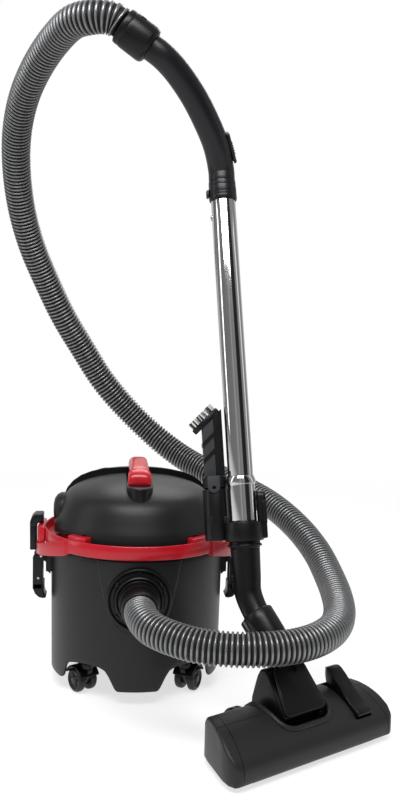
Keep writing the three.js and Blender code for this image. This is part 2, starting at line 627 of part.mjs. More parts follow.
function yokeBody() {
  const outline = [
    [-16, 58.5], [20, 104], [30, 110], [40, 104], [46, 84], [56, 46], [86, 28], [88, 14], [80, 12],
    [52, 24], [24, 34], [8, 23.5], [-7, 38], [-6, 48], [-16, 54],
  ];
  const wedge = sideProfile(outline, -34, 34);
  const narrow = join(block([-60, -60, 0], [60, 49, 140]), block([-24, 40, 0], [24, 100, 60]));
  const axleHole = alongX(disc(4.3, -60, 60, FACETS.small), [0, PIVOT.y, PIVOT.z]);
  const stub = alongX(disc(3, -ROLLER.outer - 1.5, ROLLER.outer + 1.5, FACETS.tiny), [0, ROLLER.y, ROLLER.z]);
  return join(cut(wedge.intersect(narrow), axleHole), stub);
}

function pedalRocker() {
  const outline = [
    [-41, 42], [-41.5, 47], [-36, 50.5], [-12, 66], [8, 80], [20, 89], [27, 89.5], [30, 84],
    [26, 74], [10, 62], [3, 47], [-3, 42.5], [-11, 47], [-34, 43],
  ];
  const rocker = sideProfile(outline, PEDAL.x - PEDAL.halfWidth, PEDAL.x + PEDAL.halfWidth);
  return join(rocker, alongX(disc(4, PEDAL.x - 21.5, PEDAL.x + 21.5, FACETS.small), [0, PEDAL.y, 50]));
}

function addFloorHead(parent) {
  const head = new THREE.Group();
  head.position.set(...HEAD.position);
  head.rotation.z = THREE.MathUtils.degToRad(HEAD.yaw);
  parent.add(head);

  part(head, 'head_hood', hoodShell(), FINISH.charcoal);
  const mouth = block([-85, -22, -1], [85, -6, 10]);
  part(head, 'sole_plate', cut(block([-107.5, -36, 0], [107.5, 39.5, 5]), mouth), FINISH.black);
  part(head, 'brush_strip', block([-107, -43, 4], [107, -37, 13]), FINISH.bristle);

  const yoke = yokeBody();
  const neckBore = neckTool(head, 22.4, -80, 46.6);
  part(head, 'yoke', cut(yoke, neckBore), FINISH.black);
  const plate = [[-18, 61.5], [-15, 59], [20.5, 104.6], [18, 107.5]];
  part(head, 'neck_cover', sideProfile(plate.map(([y, z]) => [y - 1.2, z + 1.4]), -37, 37), FINISH.charcoal);
  part(head, 'yoke_axle', alongX(disc(4, -55, 55, FACETS.small), [0, PIVOT.y, PIVOT.z]), FINISH.steel);
  const tyre = ring([
    [3.4, ROLLER.inner], [ROLLER.radius - 1, ROLLER.inner], [ROLLER.radius, ROLLER.inner + 1.5],
    [ROLLER.radius, ROLLER.outer - 2], [ROLLER.radius - 2, ROLLER.outer], [14, ROLLER.outer],
    [13, ROLLER.outer - 2], [8, ROLLER.outer - 2], [7, ROLLER.outer], [3.4, ROLLER.outer],
  ]);
  const right = alongX(tyre, [0, ROLLER.y, ROLLER.z]);
  part(head, 'roller_left', mirroredX(right), FINISH.rubber);
  part(head, 'roller_right', right, FINISH.rubber);

  part(head, 'pedal', pedalRocker(), FINISH.black);
}

/** A round cutter along the neck's axis, given in the floor head's own frame. */
function neckTool(head, radius, from, to) {
  head.updateMatrixWorld(true);
  const start = head.worldToLocal(new THREE.Vector3(...NECK.top));
  const end = head.worldToLocal(new THREE.Vector3(...NECK.bottom));
  const direction = end.sub(start).normalize();
  const turn = new THREE.Quaternion().setFromUnitVectors(new THREE.Vector3(0, 0, 1), direction);
  return turnedTo(disc(radius, from, to), new THREE.Euler().setFromQuaternion(turn), start.toArray());
}

// ---------- hose ----------

const HOSE_ROUTE = [
  [0, -187, 160], [0, -196, 160], [4, -220, 158], [15, -246, 155], [38, -270, 152], [70, -290, 149], [112, -302, 148],
  [156, -303, 148], [197, -291, 148], [232, -267, 149], [260, -231, 151], [278, -184, 155], [287, -128, 163],
  [288, -66, 177], [281, -4, 198], [261, 60, 222], [228, 122, 245], [186, 180, 262], [138, 232, 277],
  [86, 274, 301], [34, 298, 338], [-15, 305, 384], [-59, 298, 436], [-98, 284, 496], [-132, 264, 552],
  [-161, 240, 612], [-184, 210, 668], [-198, 174, 724], [-203, 130, 780], [-199, 80, 832], [-184, 26, 876],
  [-160, -28, 912], [-130, -80, 940], [-102, -121, 956], [-80, -138.5, 958.6], [-64, -144.8, 957.8],
  [-47.6, -146.24, 951.3], [-39.3, -146.03, 945.7],
];

function addHose(parent) {
  part(parent, 'hose', swept(HOSE_ROUTE, HOSE.radius, { sides: HOSE.sides, steps: HOSE.steps }), FINISH.hoseGrey);
}

// ---------- assembly ----------

function buildVacuum() {
  const object = new THREE.Group();
  addDrum(object);
  addInlet(object);
  addMotorHead(object);
  addLatches(object);
  addCasters(object);
  const wand = addWand(object);
  addHandle(object, wand);
  addElbow(object, wand);
  addFloorHead(object);

  // The origin is the middle of the footprint, on the floor, of everything but the hose.
  object.updateMatrixWorld(true);
  const box = new THREE.Box3().setFromObject(object, true);
  const centre = box.getCenter(new THREE.Vector3());
  object.position.set(-centre.x, -centre.y, -box.min.z);
  addHose(object);
  return object;
}

export default buildVacuum();
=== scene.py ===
"""Looks of a compact drum vacuum cleaner with its hose, wand, floor head and brush tool.

Shapes are worked out in millimetres about the drum's axis, with the front toward -Y, and every
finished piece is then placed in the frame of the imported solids, in metres.
"""

import logging
import math
from dataclasses import dataclass
from enum import Enum
from typing import Callable, Iterable, Sequence

import bmesh
import bpy
from mathutils import Matrix, Vector


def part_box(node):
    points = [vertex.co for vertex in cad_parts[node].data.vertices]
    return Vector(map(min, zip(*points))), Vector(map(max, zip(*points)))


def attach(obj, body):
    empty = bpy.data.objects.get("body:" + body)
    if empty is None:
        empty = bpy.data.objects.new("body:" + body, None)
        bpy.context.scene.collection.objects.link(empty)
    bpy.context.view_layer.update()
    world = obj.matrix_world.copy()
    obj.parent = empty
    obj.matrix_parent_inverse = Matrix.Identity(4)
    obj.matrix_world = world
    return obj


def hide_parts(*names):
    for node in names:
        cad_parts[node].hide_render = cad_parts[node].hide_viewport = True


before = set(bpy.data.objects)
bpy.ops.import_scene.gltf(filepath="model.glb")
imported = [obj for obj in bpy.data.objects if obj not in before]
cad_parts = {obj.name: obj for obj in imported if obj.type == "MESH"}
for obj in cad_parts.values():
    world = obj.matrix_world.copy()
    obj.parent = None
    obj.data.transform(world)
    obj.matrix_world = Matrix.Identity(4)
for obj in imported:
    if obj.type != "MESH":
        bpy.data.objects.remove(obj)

LOG = logging.getLogger("vacuum")
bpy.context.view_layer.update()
MM = 0.001
Point = tuple[float, float, float]
Pair = tuple[float, float]


def drum_axis() -> Vector:
    """The point of the drum's axis that lies on the floor, in metres."""
    low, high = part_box("drum")
    return Vector(((low.x + high.x) / 2, (low.y + high.y) / 2, 0.0))


HOME = Matrix.Translation(drum_axis()) @ Matrix.Diagonal((MM, MM, MM, 1.0))


# ---------- shaders ----------


class Field:
    """A number that varies over a surface and can be used in plain arithmetic."""

    def __init__(self, graph: "Graph", socket: bpy.types.NodeSocket) -> None:
        """Wraps one output socket of a graph's node."""
        self.graph = graph
        self.socket = socket

    def _math(self, operation: str, first: object, second: object) -> "Field":
        """One Math node on two values."""
        node = self.graph.node("ShaderNodeMath", {"operation": operation}, {0: first, 1: second})
        return Field(self.graph, node.outputs[0])

    def __add__(self, other: object) -> "Field":
        """This plus another value."""
        return self._math("ADD", self, other)

    def __radd__(self, other: object) -> "Field":
        """Another value plus this."""
        return self._math("ADD", other, self)

    def __sub__(self, other: object) -> "Field":
        """This minus another value."""
        return self._math("SUBTRACT", self, other)

    def __rsub__(self, other: object) -> "Field":
        """Another value minus this."""
        return self._math("SUBTRACT", other, self)

    def __mul__(self, other: object) -> "Field":
        """This times another value."""
        return self._math("MULTIPLY", self, other)

    def __rmul__(self, other: object) -> "Field":
        """Another value times this."""
        return self._math("MULTIPLY", other, self)

    def bearing(self, other: "Field") -> "Field":
        """The angle in radians whose sine goes as this and cosine as another value."""
        return self._math("ARCTAN2", self, other)

    def above(self, edge: float, width: float) -> "Field":
        """A soft step.

        Args:
            edge: The value at the step's middle.
            width: How far it takes to rise.

        Returns:
            0 below the edge and 1 above it.
        """
        clamped = self.graph.node("ShaderNodeClamp", {}, {0: (self - (edge - width / 2)) * (1 / width)})
        return Field(self.graph, clamped.outputs[0])


class Graph:
    """A node tree, with one way to make any node."""

    def __init__(self, tree: bpy.types.NodeTree) -> None:
        """Empties a tree and keeps it."""
        self.tree = tree
        self.tree.nodes.clear()

    def node(self, kind: str, settings: dict, sockets: dict) -> bpy.types.Node:
        """Makes a node.

        Args:
            kind: The node's type.
            settings: Its properties, set before its sockets, and a ramp's stops.
            sockets: Its inputs by name or number, each a value, a Field or an output socket.

        Returns:
            The node.
        """
        node = self.tree.nodes.new(kind)
        for key, value in settings.items():
            if key == "stops":
                self._set_stops(node.color_ramp.elements, value)
            else:
                setattr(node, key, value)
        for key, value in sockets.items():
            target = node.inputs[key]
            if isinstance(value, Field):
                self.tree.links.new(value.socket, target)
            elif isinstance(value, bpy.types.NodeSocket):
                self.tree.links.new(value, target)
            else:
                target.default_value = value
        return node

    @staticmethod
    def _set_stops(made: bpy.types.ColorRampElements, stops: Sequence[tuple]) -> None:
        """Sets a new ramp's stops.

        Args:
            made: The ramp's two stops, to which the others are added.
            stops: (position, colour) of each stop, from left to right.
        """
        for position, _ in stops[1:-1]:
            made.new(position)
        for stop, (position, color) in zip(made, stops):
            stop.position, stop.color = position, color


class Recipe(Graph):
    """A material's node tree, with the patterns that the finishes share."""

    def __init__(self, name: str) -> None:
        """Starts an empty material of a name."""
        self.material = bpy.data.materials.new(name)
        self.material.use_nodes = True
        super().__init__(self.material.node_tree)
        self.output = self.node("ShaderNodeOutputMaterial", {}, {})

    def place(self) -> bpy.types.NodeSocket:
        """Where a point is, in metres."""
        return self.node("ShaderNodeTexCoord", {}, {}).outputs["Object"]

    def noise(self, scale: float, detail: float = 2.0, stretch: Point = (1, 1, 1)) -> Field:
        """Smooth noise.

        Args:
            scale: How many bumps it has to the metre.
            detail: How many finer layers lie on it.
            stretch: Its scale along each axis.

        Returns:
            A value from 0 to 1.
        """
        mapped = self.node("ShaderNodeMapping", {}, {"Vector": self.place(), "Scale": stretch})
        made = self.node(
            "ShaderNodeTexNoise", {}, {"Vector": mapped.outputs[0], "Scale": scale, "Detail": detail}
        )
        return Field(self, made.outputs[0])

    def attribute(self, name: str) -> Field:
        """A number stored on the mesh's points."""
        made = self.node("ShaderNodeAttribute", {"attribute_name": name}, {})
        return Field(self, made.outputs["Fac"])

    def blend(self, factor: object, first: Point, second: Point) -> bpy.types.NodeSocket:
        """A colour between two colours."""
        mix = self.node(
            "ShaderNodeMix",
            {"data_type": "RGBA"},
            {0: factor, 6: (*first, 1.0), 7: (*second, 1.0)},
        )
        return mix.outputs[2]

    def bump(self, height: Field, depth: float) -> bpy.types.NodeSocket:
        """A normal for a height from 0 to 1 times a depth in metres."""
        made = self.node("ShaderNodeBump", {}, {"Height": height, "Distance": depth, "Strength": 1.0})
        return made.outputs[0]

    def surface(self, sockets: dict) -> bpy.types.Material:
        """Ends the recipe with a principled surface.

        Args:
            sockets: The surface's inputs by name.

        Returns:
            The material.
        """
        shader = self.node("ShaderNodeBsdfPrincipled", {}, sockets)
        self.tree.links.new(shader.outputs[0], self.output.inputs[0])
        return self.material


def lighter(color: Point, by: float) -> Point:
    """A colour made lighter by a factor."""
    return tuple(min(1.0, c * by) for c in color)


@dataclass(frozen=True)
class Moulded:
    """A moulded plastic with its spark-eroded grain, handling marks and faint colour drift."""

    name: str
    slot: str
    color: Point
    roughness: float
    grain: float = 2600.0
    grain_depth: float = 0.00003
    drift: float = 1.25
    coat: float = 0.0
    sheen: float = 0.34

    def dress(self) -> bpy.types.Material:
        """Makes the material.

        Returns:
            The material.
        """
        recipe = Recipe(self.name)
        clouds = recipe.noise(22.0, 3.0)
        marks = recipe.noise(160.0, 4.0)
        fine = recipe.noise(self.grain, 2.0)
        color = recipe.blend(clouds, self.color, lighter(self.color, self.drift))
        rough = self.roughness - 0.05 + marks * 0.07 + clouds * 0.04
        return recipe.surface(
            {
                "Base Color": color,
                "Roughness": rough,
                "Specular IOR Level": self.sheen,
                "Coat Weight": self.coat,
                "Coat Roughness": 0.12,
                "Normal": recipe.bump(fine, self.grain_depth),
            }
        )


@dataclass(frozen=True)
class PolishedTube:
    """Chromed steel tube, with faint drawing marks along it."""

    name: str
    slot: str
    color: Point = (0.6, 0.6, 0.61)
    roughness: float = 0.07
    metallic: float = 1.0

    def dress(self) -> bpy.types.Material:
        """Makes the material.

        Returns:
            The material.
        """
        recipe = Recipe(self.name)
        drawn = recipe.noise(900.0, 2.0, (1.0, 1.0, 0.02))
        smears = recipe.noise(60.0, 3.0)
        rough = self.roughness + drawn * 0.03 + smears * 0.03
        color = recipe.blend(smears, self.color, lighter(self.color, 1.08))
        return recipe.surface(
            {
                "Base Color": color,
                "Metallic": self.metallic,
                "Roughness": rough,
            }
        )


@dataclass(frozen=True)
class RibbedHose:
    """Extruded hose plastic, with painted shade: the base colour is bright on the ribs and dark down in the
    grooves, where shadow falls.
    """

    name: str
    slot: str
    rib: Point = (0.23, 0.233, 0.238)
    # painted shade: the near-black colour put down in the grooves
    groove: Point = (0.008, 0.008, 0.009)

    def dress(self) -> bpy.types.Material:
        """Makes the material.

        Returns:
            The material.
        """
        recipe = Recipe(self.name)
        depth = recipe.attribute("groove")
        flow = recipe.noise(14.0, 3.0)
        fine = recipe.noise(1400.0, 2.0)
        # painted shade: the groove mask turns the base colour dark where the grooves lie in shadow
        color = recipe.blend(depth.above(0.45, 0.6), self.rib, self.groove)
        rough = 0.24 + depth * 0.3 + flow * 0.08
        return recipe.surface(
            {
                "Base Color": color,
                "Metallic": 0.55,
                "Roughness": rough,
                "Normal": recipe.bump(fine, 0.00002),
            }
        )


@dataclass(frozen=True)
class Fibrous:
    """Felt, foam or bristle: a rough stuff with cells or fibres of a size."""

    name: str
    slot: str
    color: Point
    cell: float = 700.0
    depth: float = 0.0006

    def dress(self) -> bpy.types.Material:
        """Makes the material.

        Returns:
            The material.
        """
        recipe = Recipe(self.name)
        cells = recipe.noise(self.cell, 4.0)
        clouds = recipe.noise(30.0, 2.0)
        color = recipe.blend(cells * 0.7 + clouds * 0.3, lighter(self.color, 0.6), lighter(self.color, 1.2))
        return recipe.surface(
            {
                "Base Color": color,
                "Roughness": 0.85 + cells * 0.12,
                "Sheen Weight": 0.25,
                "Normal": recipe.bump(cells, self.depth),
            }
        )


class Look(Enum):
    """The finishes of the machine."""

    SHELL = Moulded("graphite_shell", "charcoal_shell", (0.0078, 0.0081, 0.0088), 0.42)
    HOOD = Moulded("graphite_hood", "charcoal_shell", (0.0128, 0.0124, 0.012), 0.46)
    BLACK = Moulded(
        "satin_black", "black_plastic", (0.0042, 0.0042, 0.005), 0.34, 2000.0, 0.000012, sheen=0.27
    )
    TUBE_BLACK = Moulded("handle_black", "black_plastic", (0.0055, 0.0057, 0.0078), 0.36, 1800.0, 0.000004)
    RED = Moulded("signal_red", "red_plastic", (0.46, 0.006, 0.016), 0.3, 1700.0, 0.000012, 1.12, 0.25)
    TOOL = Moulded("tool_grey", "grey_plastic", (0.03, 0.032, 0.034), 0.5)
    WHEEL = Moulded("wheel_black", "wheel_plastic", (0.009, 0.009, 0.0095), 0.4, 1500.0, 0.00003)
    SEAL = Moulded("seal_rubber", "seal_rubber", (0.01, 0.01, 0.01), 0.7, 900.0, 0.00005)
    CHROME = PolishedTube("bright_chrome", "chrome")
    STEEL = PolishedTube("bright_steel", "steel", (0.5, 0.5, 0.51), 0.25)
    DARK_STEEL = PolishedTube("blackened_steel", "steel", (0.04, 0.04, 0.042), 0.35)
    MOTOR = PolishedTube("motor_casing", "motor_metal", (0.42, 0.4, 0.38), 0.35)
    HOSE = RibbedHose("hose_plastic", "hose_grey")
    FELT = Fibrous("filter_felt", "filter_cloth", (0.7, 0.68, 0.62))
    FOAM = Fibrous("filter_foam", "filter_foam", (0.02, 0.02, 0.022), 450.0, 0.001)
    BRISTLE = Fibrous("pale_bristle", "bristle", (0.72, 0.71, 0.68), 900.0, 0.0002)
    DARK_BRISTLE = Fibrous("dark_bristle", "bristle", (0.02, 0.02, 0.02), 900.0, 0.0002)

    def material(self) -> bpy.types.Material:
        """The finish's one material, made when it is first asked for."""
        known = bpy.data.materials.get(self.value.name)
        return known or self.value.dress()


# ---------- shaping ----------


def new_piece(name: str, points: Iterable[Point], faces: Iterable, edges: Iterable = ()) -> bpy.types.Object:
    """A mesh object in the scene.

    Args:
        name: The piece's name.
        points: Its corners.
        faces: Its faces, as numbers of corners.
        edges: Its loose edges, as pairs of numbers.

    Returns:
        The piece, in millimetres.
    """
    mesh = bpy.data.meshes.new(name)
    mesh.from_pydata(list(points), list(edges), list(faces))
    piece = bpy.data.objects.new(name, mesh)
    bpy.context.scene.collection.objects.link(piece)
    return piece


def bevel(piece: bpy.types.Object, width: float, segments: int = 3, angle: float = 32.0) -> None:
    """Rounds a piece's sharp edges.

    Args:
        piece: The piece.
        width: The width of the rounding, or 0 for none.
        segments: How many faces it has across.
        angle: The angle in degrees past which an edge is rounded.
    """
    if width <= 0:
        return
    stack = piece.modifiers.new("rounding", "BEVEL")
    stack.width = width
    stack.segments = segments
    stack.limit_method = "ANGLE"
    stack.angle_limit = math.radians(angle)
    stack.miter_outer = "MITER_ARC"
    stack.harden_normals = False


def apply_stack(piece: bpy.types.Object) -> None:
    """Applies a piece's modifiers to its mesh.

    Args:
        piece: The piece.
    """
    bpy.context.view_layer.update()
    graph = bpy.context.evaluated_depsgraph_get()
    made = bpy.data.meshes.new_from_object(piece.evaluated_get(graph))
    piece.modifiers.clear()
    piece.data = made


def tidy_normals(piece: bpy.types.Object) -> None:
    """Merges doubles and turns all faces outward.

    Args:
        piece: The piece.
    """
    mesh = bmesh.new()
    mesh.from_mesh(piece.data)
    bmesh.ops.remove_doubles(mesh, verts=mesh.verts, dist=0.002)
    bmesh.ops.recalc_face_normals(mesh, faces=mesh.faces)
    mesh.to_mesh(piece.data)
    mesh.free()


def thicken(piece: bpy.types.Object, wall: float, rounding: float) -> None:
    """Gives a sheet a wall inward and rounds its rim.

    Args:
        piece: The sheet.
        wall: How thick it gets.
        rounding: The width of its rounded edges.
    """
    stack = piece.modifiers.new("thickness", "SOLIDIFY")
    stack.thickness = wall
    stack.offset = -1.0
    apply_stack(piece)
    tidy_normals(piece)
    bevel(piece, rounding, 2, 50.0)
    apply_stack(piece)


def turned(
    name: str, profile: Sequence[Pair], steps: int = 96, closed: bool = False, rounding: float = 0.6
) -> bpy.types.Object:
    """A shape turned about +Z.

    Args:
        name: The piece's name.
        profile: (radius, height) points.
        steps: How many faces go round.
        closed: Whether the profile ends where it starts, as a ring's does.
        rounding: The width of its rounded edges.

    Returns:
        The piece, with its stack applied.
    """
    count = len(profile)
    edges = [(i, i + 1) for i in range(count - 1)]
    if closed:
        edges.append((count - 1, 0))
    piece = new_piece(name, [(r, 0.0, z) for r, z in profile], [], edges)
    screw = piece.modifiers.new("turning", "SCREW")
    screw.steps = screw.render_steps = steps
    screw.use_merge_vertices = True
    screw.merge_threshold = 0.002
    apply_stack(piece)
    tidy_normals(piece)
    bevel(piece, rounding, 2)
    apply_stack(piece)
    return piece


def rod(
    name: str, radius: float, low: float, high: float, steps: int = 32, rounding: float = 0.0
) -> bpy.types.Object:
    """A round bar between two heights on +Z."""
    return turned(name, [(0, low), (radius, low), (radius, high), (0, high)], steps, False, rounding)


def prism(
    name: str, outline: Sequence[Pair], low: float, high: float, rounding: float = 1.0, segments: int = 3
) -> bpy.types.Object:
    """An outline in the XY plane, extruded along Z and rounded.

    Args:
        name: The piece's name.
        outline: (x, y) points.
        low: Where it starts.
        high: Where it ends.
        rounding: The width of its rounded edges.
        segments: How many faces the rounding has across.

    Returns:
        The piece, in millimetres.
    """
    count = len(outline)
    points = [(x, y, low) for x, y in outline] + [(x, y, high) for x, y in outline]
    sides = [(i, (i + 1) % count, (i + 1) % count + count, i + count) for i in range(count)]
    piece = new_piece(name, points, [tuple(range(count))[::-1], tuple(range(count, 2 * count)), *sides])
    tidy_normals(piece)
    bevel(piece, rounding, segments)
    apply_stack(piece)
    return piece


def loft(name: str, rings: Sequence[Sequence[Point]]) -> bpy.types.Object:
    """A closed skin over rings.

    Args:
        name: The piece's name.
        rings: Rings of equally many points, from one end to the other.

    Returns:
        The piece, in millimetres.
    """
    count = len(rings[0])
    faces = [tuple(range(count))[::-1], tuple(range((len(rings) - 1) * count, len(rings) * count))]
    for i in range(len(rings) - 1):
        for k in range(count):
            j = (k + 1) % count
            faces.append((i * count + k, i * count + j, (i + 1) * count + j, (i + 1) * count + k))
    piece = new_piece(name, [point for ring in rings for point in ring], faces)
    tidy_normals(piece)
    return piece


def side_prism(
    name: str, outline: Sequence[Pair], low: float, high: float, rounding: float = 1.0, segments: int = 3
) -> bpy.types.Object:
    """An outline extruded along X and rounded.

    Args:
        name: The piece's name.
        outline: (y, z) points.
        low: Where it starts.
        high: Where it ends.
        rounding: The width of its rounded edges.
        segments: How many faces the rounding has across.

    Returns:
        The piece, in millimetres.
    """
    piece = prism(name, outline, low, high, rounding, segments)
    piece.data.transform(Matrix(((0, 0, 1, 0), (1, 0, 0, 0), (0, 1, 0, 0), (0, 0, 0, 1))))
    return piece


def block(name: str, low: Point, high: Point, rounding: float = 1.0, segments: int = 3) -> bpy.types.Object:
    """A rounded box between two corners."""
    outline = [(low[0], low[1]), (high[0], low[1]), (high[0], high[1]), (low[0], high[1])]
    return prism(name, outline, low[2], high[2], rounding, segments)


def carve(piece: bpy.types.Object, cutter: bpy.types.Object, how: str = "DIFFERENCE") -> bpy.types.Object:
    """Cuts, joins or crosses a piece with another, which is used up.

    Args:
        piece: The piece.
        cutter: The other piece.
        how: The kind of Boolean.

    Returns:
        The piece, changed.
    """
    stack = piece.modifiers.new("carving", "BOOLEAN")
    stack.operation = how
    stack.solver = "EXACT"
    stack.object = cutter
    apply_stack(piece)
    bpy.data.objects.remove(cutter)
    return piece


def join(name: str, pieces: Sequence[bpy.types.Object]) -> bpy.types.Object:
    """Gathers several pieces of one finish into one mesh.

    Args:
        name: The whole's name.
        pieces: The pieces, which are used up.

    Returns:
        The whole.
    """
    mesh = bmesh.new()
    for piece in pieces:
        mesh.from_mesh(piece.data)
        bpy.data.objects.remove(piece)
    whole = new_piece(name, [], [])
    mesh.to_mesh(whole.data)
    mesh.free()
    return whole


def moved(piece: bpy.types.Object, matrix: Matrix) -> bpy.types.Object:
    """Moves a piece's mesh, and keeps its faces outward under a mirror.

    Args:
        piece: The piece.
        matrix: The move.

    Returns:
        The piece.
    """
    piece.data.transform(matrix)
    if matrix.determinant() < 0:
        piece.data.flip_normals()
    return piece


def copy_of(piece: bpy.types.Object, name: str, matrix: Matrix) -> bpy.types.Object:
    """A moved copy of a piece.

    Args:
        piece: The piece.
        name: The copy's name.
        matrix: The move.

    Returns:
        The copy.
    """
    twin = bpy.data.objects.new(name, piece.data.copy())
    bpy.context.scene.collection.objects.link(twin)
    return moved(twin, matrix)


def shift(x: float = 0.0, y: float = 0.0, z: float = 0.0) -> Matrix:
    """A move."""
    return Matrix.Translation((x, y, z))


def spin(degrees: float, axis: str = "Z") -> Matrix:
    """A turn about an axis."""
    return Matrix.Rotation(math.radians(degrees), 4, axis)


MIRROR_X = Matrix.Diagonal((-1.0, 1.0, 1.0, 1.0))
FACING_FRONT = spin(90.0, "X")  # takes +Z to -Y
ALONG_X = spin(90.0, "Y")  # takes +Z to +X


def aimed(start: Point, end: Point, toward: Point = (1.0, 0.0, 0.0)) -> Matrix:
    """A frame at one point that looks to another.

    Args:
        start: The frame's origin.
        end: A point on its +Z.
        toward: A direction that its +X leans to.

    Returns:
        The frame.
    """
    z = (Vector(end) - Vector(start)).normalized()
    y = z.cross(Vector(toward)).normalized()
    x = y.cross(z)
    turn = Matrix((x, y, z)).transposed().to_4x4()
    return Matrix.Translation(start) @ turn


class Route:
    """A smooth line through points, walked by its length."""

    def __init__(self, points: Sequence[Point], fineness: int = 24) -> None:
        """Samples a centripetal spline through points.

        Args:
            points: The points that it passes.
            fineness: How many samples lie between two of them.
        """
        ends = [Vector(p) for p in points]
        ends = [2 * ends[0] - ends[1], *ends, 2 * ends[-1] - ends[-2]]
        self.points: list[Vector] = []
        for p0, p1, p2, p3 in zip(ends, ends[1:], ends[2:], ends[3:]):
            knots = [0.0]
            for a, b in ((p0, p1), (p1, p2), (p2, p3)):
                knots.append(knots[-1] + max((b - a).length, 1e-6) ** 0.5)
            for i in range(fineness):
                self.points.append(self._blend(p0, p1, p2, p3, knots, i / fineness))
        self.points.append(Vector(points[-1]))
        self.reach = [0.0]
        for a, b in zip(self.points, self.points[1:]):
            self.reach.append(self.reach[-1] + (b - a).length)
        self.length = self.reach[-1]

    @staticmethod
    def _blend(p0: Vector, p1: Vector, p2: Vector, p3: Vector, t: list[float], share: float) -> Vector:
        """A point of the spline between its second and third points.

        Args:
            p0: The point before.
            p1: Where the stretch starts.
            p2: Where it ends.
            p3: The point after.
            t: The four points' knots.
            share: How far along the stretch, from 0 to 1.

        Returns:
            The point.
        """
        at = t[1] + (t[2] - t[1]) * share
        a1 = p0 * ((t[1] - at) / (t[1] - t[0])) + p1 * ((at - t[0]) / (t[1] - t[0]))
        a2 = p1 * ((t[2] - at) / (t[2] - t[1])) + p2 * ((at - t[1]) / (t[2] - t[1]))
        a3 = p2 * ((t[3] - at) / (t[3] - t[2])) + p3 * ((at - t[2]) / (t[3] - t[2]))
        b1 = a1 * ((t[2] - at) / (t[2] - t[0])) + a2 * ((at - t[0]) / (t[2] - t[0]))
        b2 = a2 * ((t[3] - at) / (t[3] - t[1])) + a3 * ((at - t[1]) / (t[3] - t[1]))
        return b1 * ((t[2] - at) / (t[2] - t[1])) + b2 * ((at - t[1]) / (t[2] - t[1]))

    def rings(self, count: int, radius: float) -> list[Pair]:
        """Evenly spaced (distance, radius) pairs for a pipe of one radius."""
        return [(self.length * i / count, radius) for i in range(count + 1)]

    def walk(self, stations: Sequence[float]) -> list[Vector]:
        """Walks along the line.

        Args:
            stations: Distances that rise.

        Returns:
            The point at each distance.
        """
        found, i = [], 0
        for s in stations:
            s = min(max(s, 0.0), self.length)
            while i < len(self.reach) - 2 and self.reach[i + 1] < s:
                i += 1
            span = max(self.reach[i + 1] - self.reach[i], 1e-9)
            found.append(self.points[i].lerp(self.points[i + 1], (s - self.reach[i]) / span))
        return found

    def frames(self, stations: Sequence[float]) -> list[tuple[Vector, Vector, Vector]]:
        """Walks along the line with a frame that doesn't twist.

        Args:
            stations: Distances that rise.

        Returns:
            A point and two crossways directions at each distance.
        """
        points = self.walk(stations)
        ahead = self.walk([s + 0.5 for s in stations])
        behind = self.walk([s - 0.5 for s in stations])
        side = Vector((0.0, 0.0, 1.0))
        result = []
        for point, a, b in zip(points, ahead, behind):
            tangent = (a - b).normalized()
            side = (side - tangent * side.dot(tangent)).normalized()
            result.append((point, side, tangent.cross(side)))
        return result


def pipe_along(
    name: str, route: Route, rings: Sequence[Pair], bore: float, sides: int = 40, rounding: float = 0.0
) -> bpy.types.Object:
    """A pipe along a route.

    Args:
        name: The piece's name.
        route: Its centreline.
        rings: (distance along the route, outer radius) of each ring.
        bore: The inner radius.
        sides: How many faces go round.
        rounding: The width of its rounded end edges.

    Returns:
        The closed pipe.
    """
    loops = [*rings, (rings[-1][0], bore), *[(s, bore) for s, _ in rings[::-4]], (rings[0][0], bore)]
    order = sorted({s for s, _ in loops})
    frames = dict(zip(order, route.frames(order)))
    points: list[Vector] = []
    for s, radius in loops:
        centre, u, v = frames[s]
        for k in range(sides):
            angle = 2 * math.pi * k / sides
            points.append(centre + (u * math.cos(angle) + v * math.sin(angle)) * radius)
    faces = []
    for ring in range(len(loops)):
        after = (ring + 1) % len(loops)
        for k in range(sides):
            j = (k + 1) % sides
            faces.append((ring * sides + k, ring * sides + j, after * sides + j, after * sides + k))
    piece = new_piece(name, points, faces)
    tidy_normals(piece)
    bevel(piece, rounding, 2)
    apply_stack(piece)
    return piece


def finish_piece(
    piece: bpy.types.Object,
    look: Look,
    body: str,
    nodes: Sequence[str] = (),
    place: Matrix = Matrix(),
    crease: float = 36.0,
) -> bpy.types.Object:
    """Places a piece in the machine, dresses it and hangs it on its body.

    Args:
        piece: The piece, in millimetres.
        look: Its finish.
        body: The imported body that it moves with.
        nodes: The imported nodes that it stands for.
        place: Where it goes, about the drum's axis.
        crease: The angle in degrees past which an edge stays sharp.

    Returns:
        The piece.
    """
    moved(piece, place)
    moved(piece, HOME)
    mesh = piece.data
    mesh.shade_smooth()
    mesh.set_sharp_from_angle(angle=math.radians(crease))
    mesh.materials.clear()
    mesh.materials.append(look.material())
    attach(piece, body)
    if nodes:
        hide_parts(*nodes)
    LOG.info("%s rides on %s", piece.name, body)
    return piece


def arc(cx: float, cy: float, radius: float, start: float, end: float, count: int = 6) -> list[Pair]:
    """Points of an arc, in degrees."""
    turn = [math.radians(start + (end - start) * i / count) for i in range(count + 1)]
    return [(cx + radius * math.cos(a), cy + radius * math.sin(a)) for a in turn]


# ---------- camera, light and floor ----------


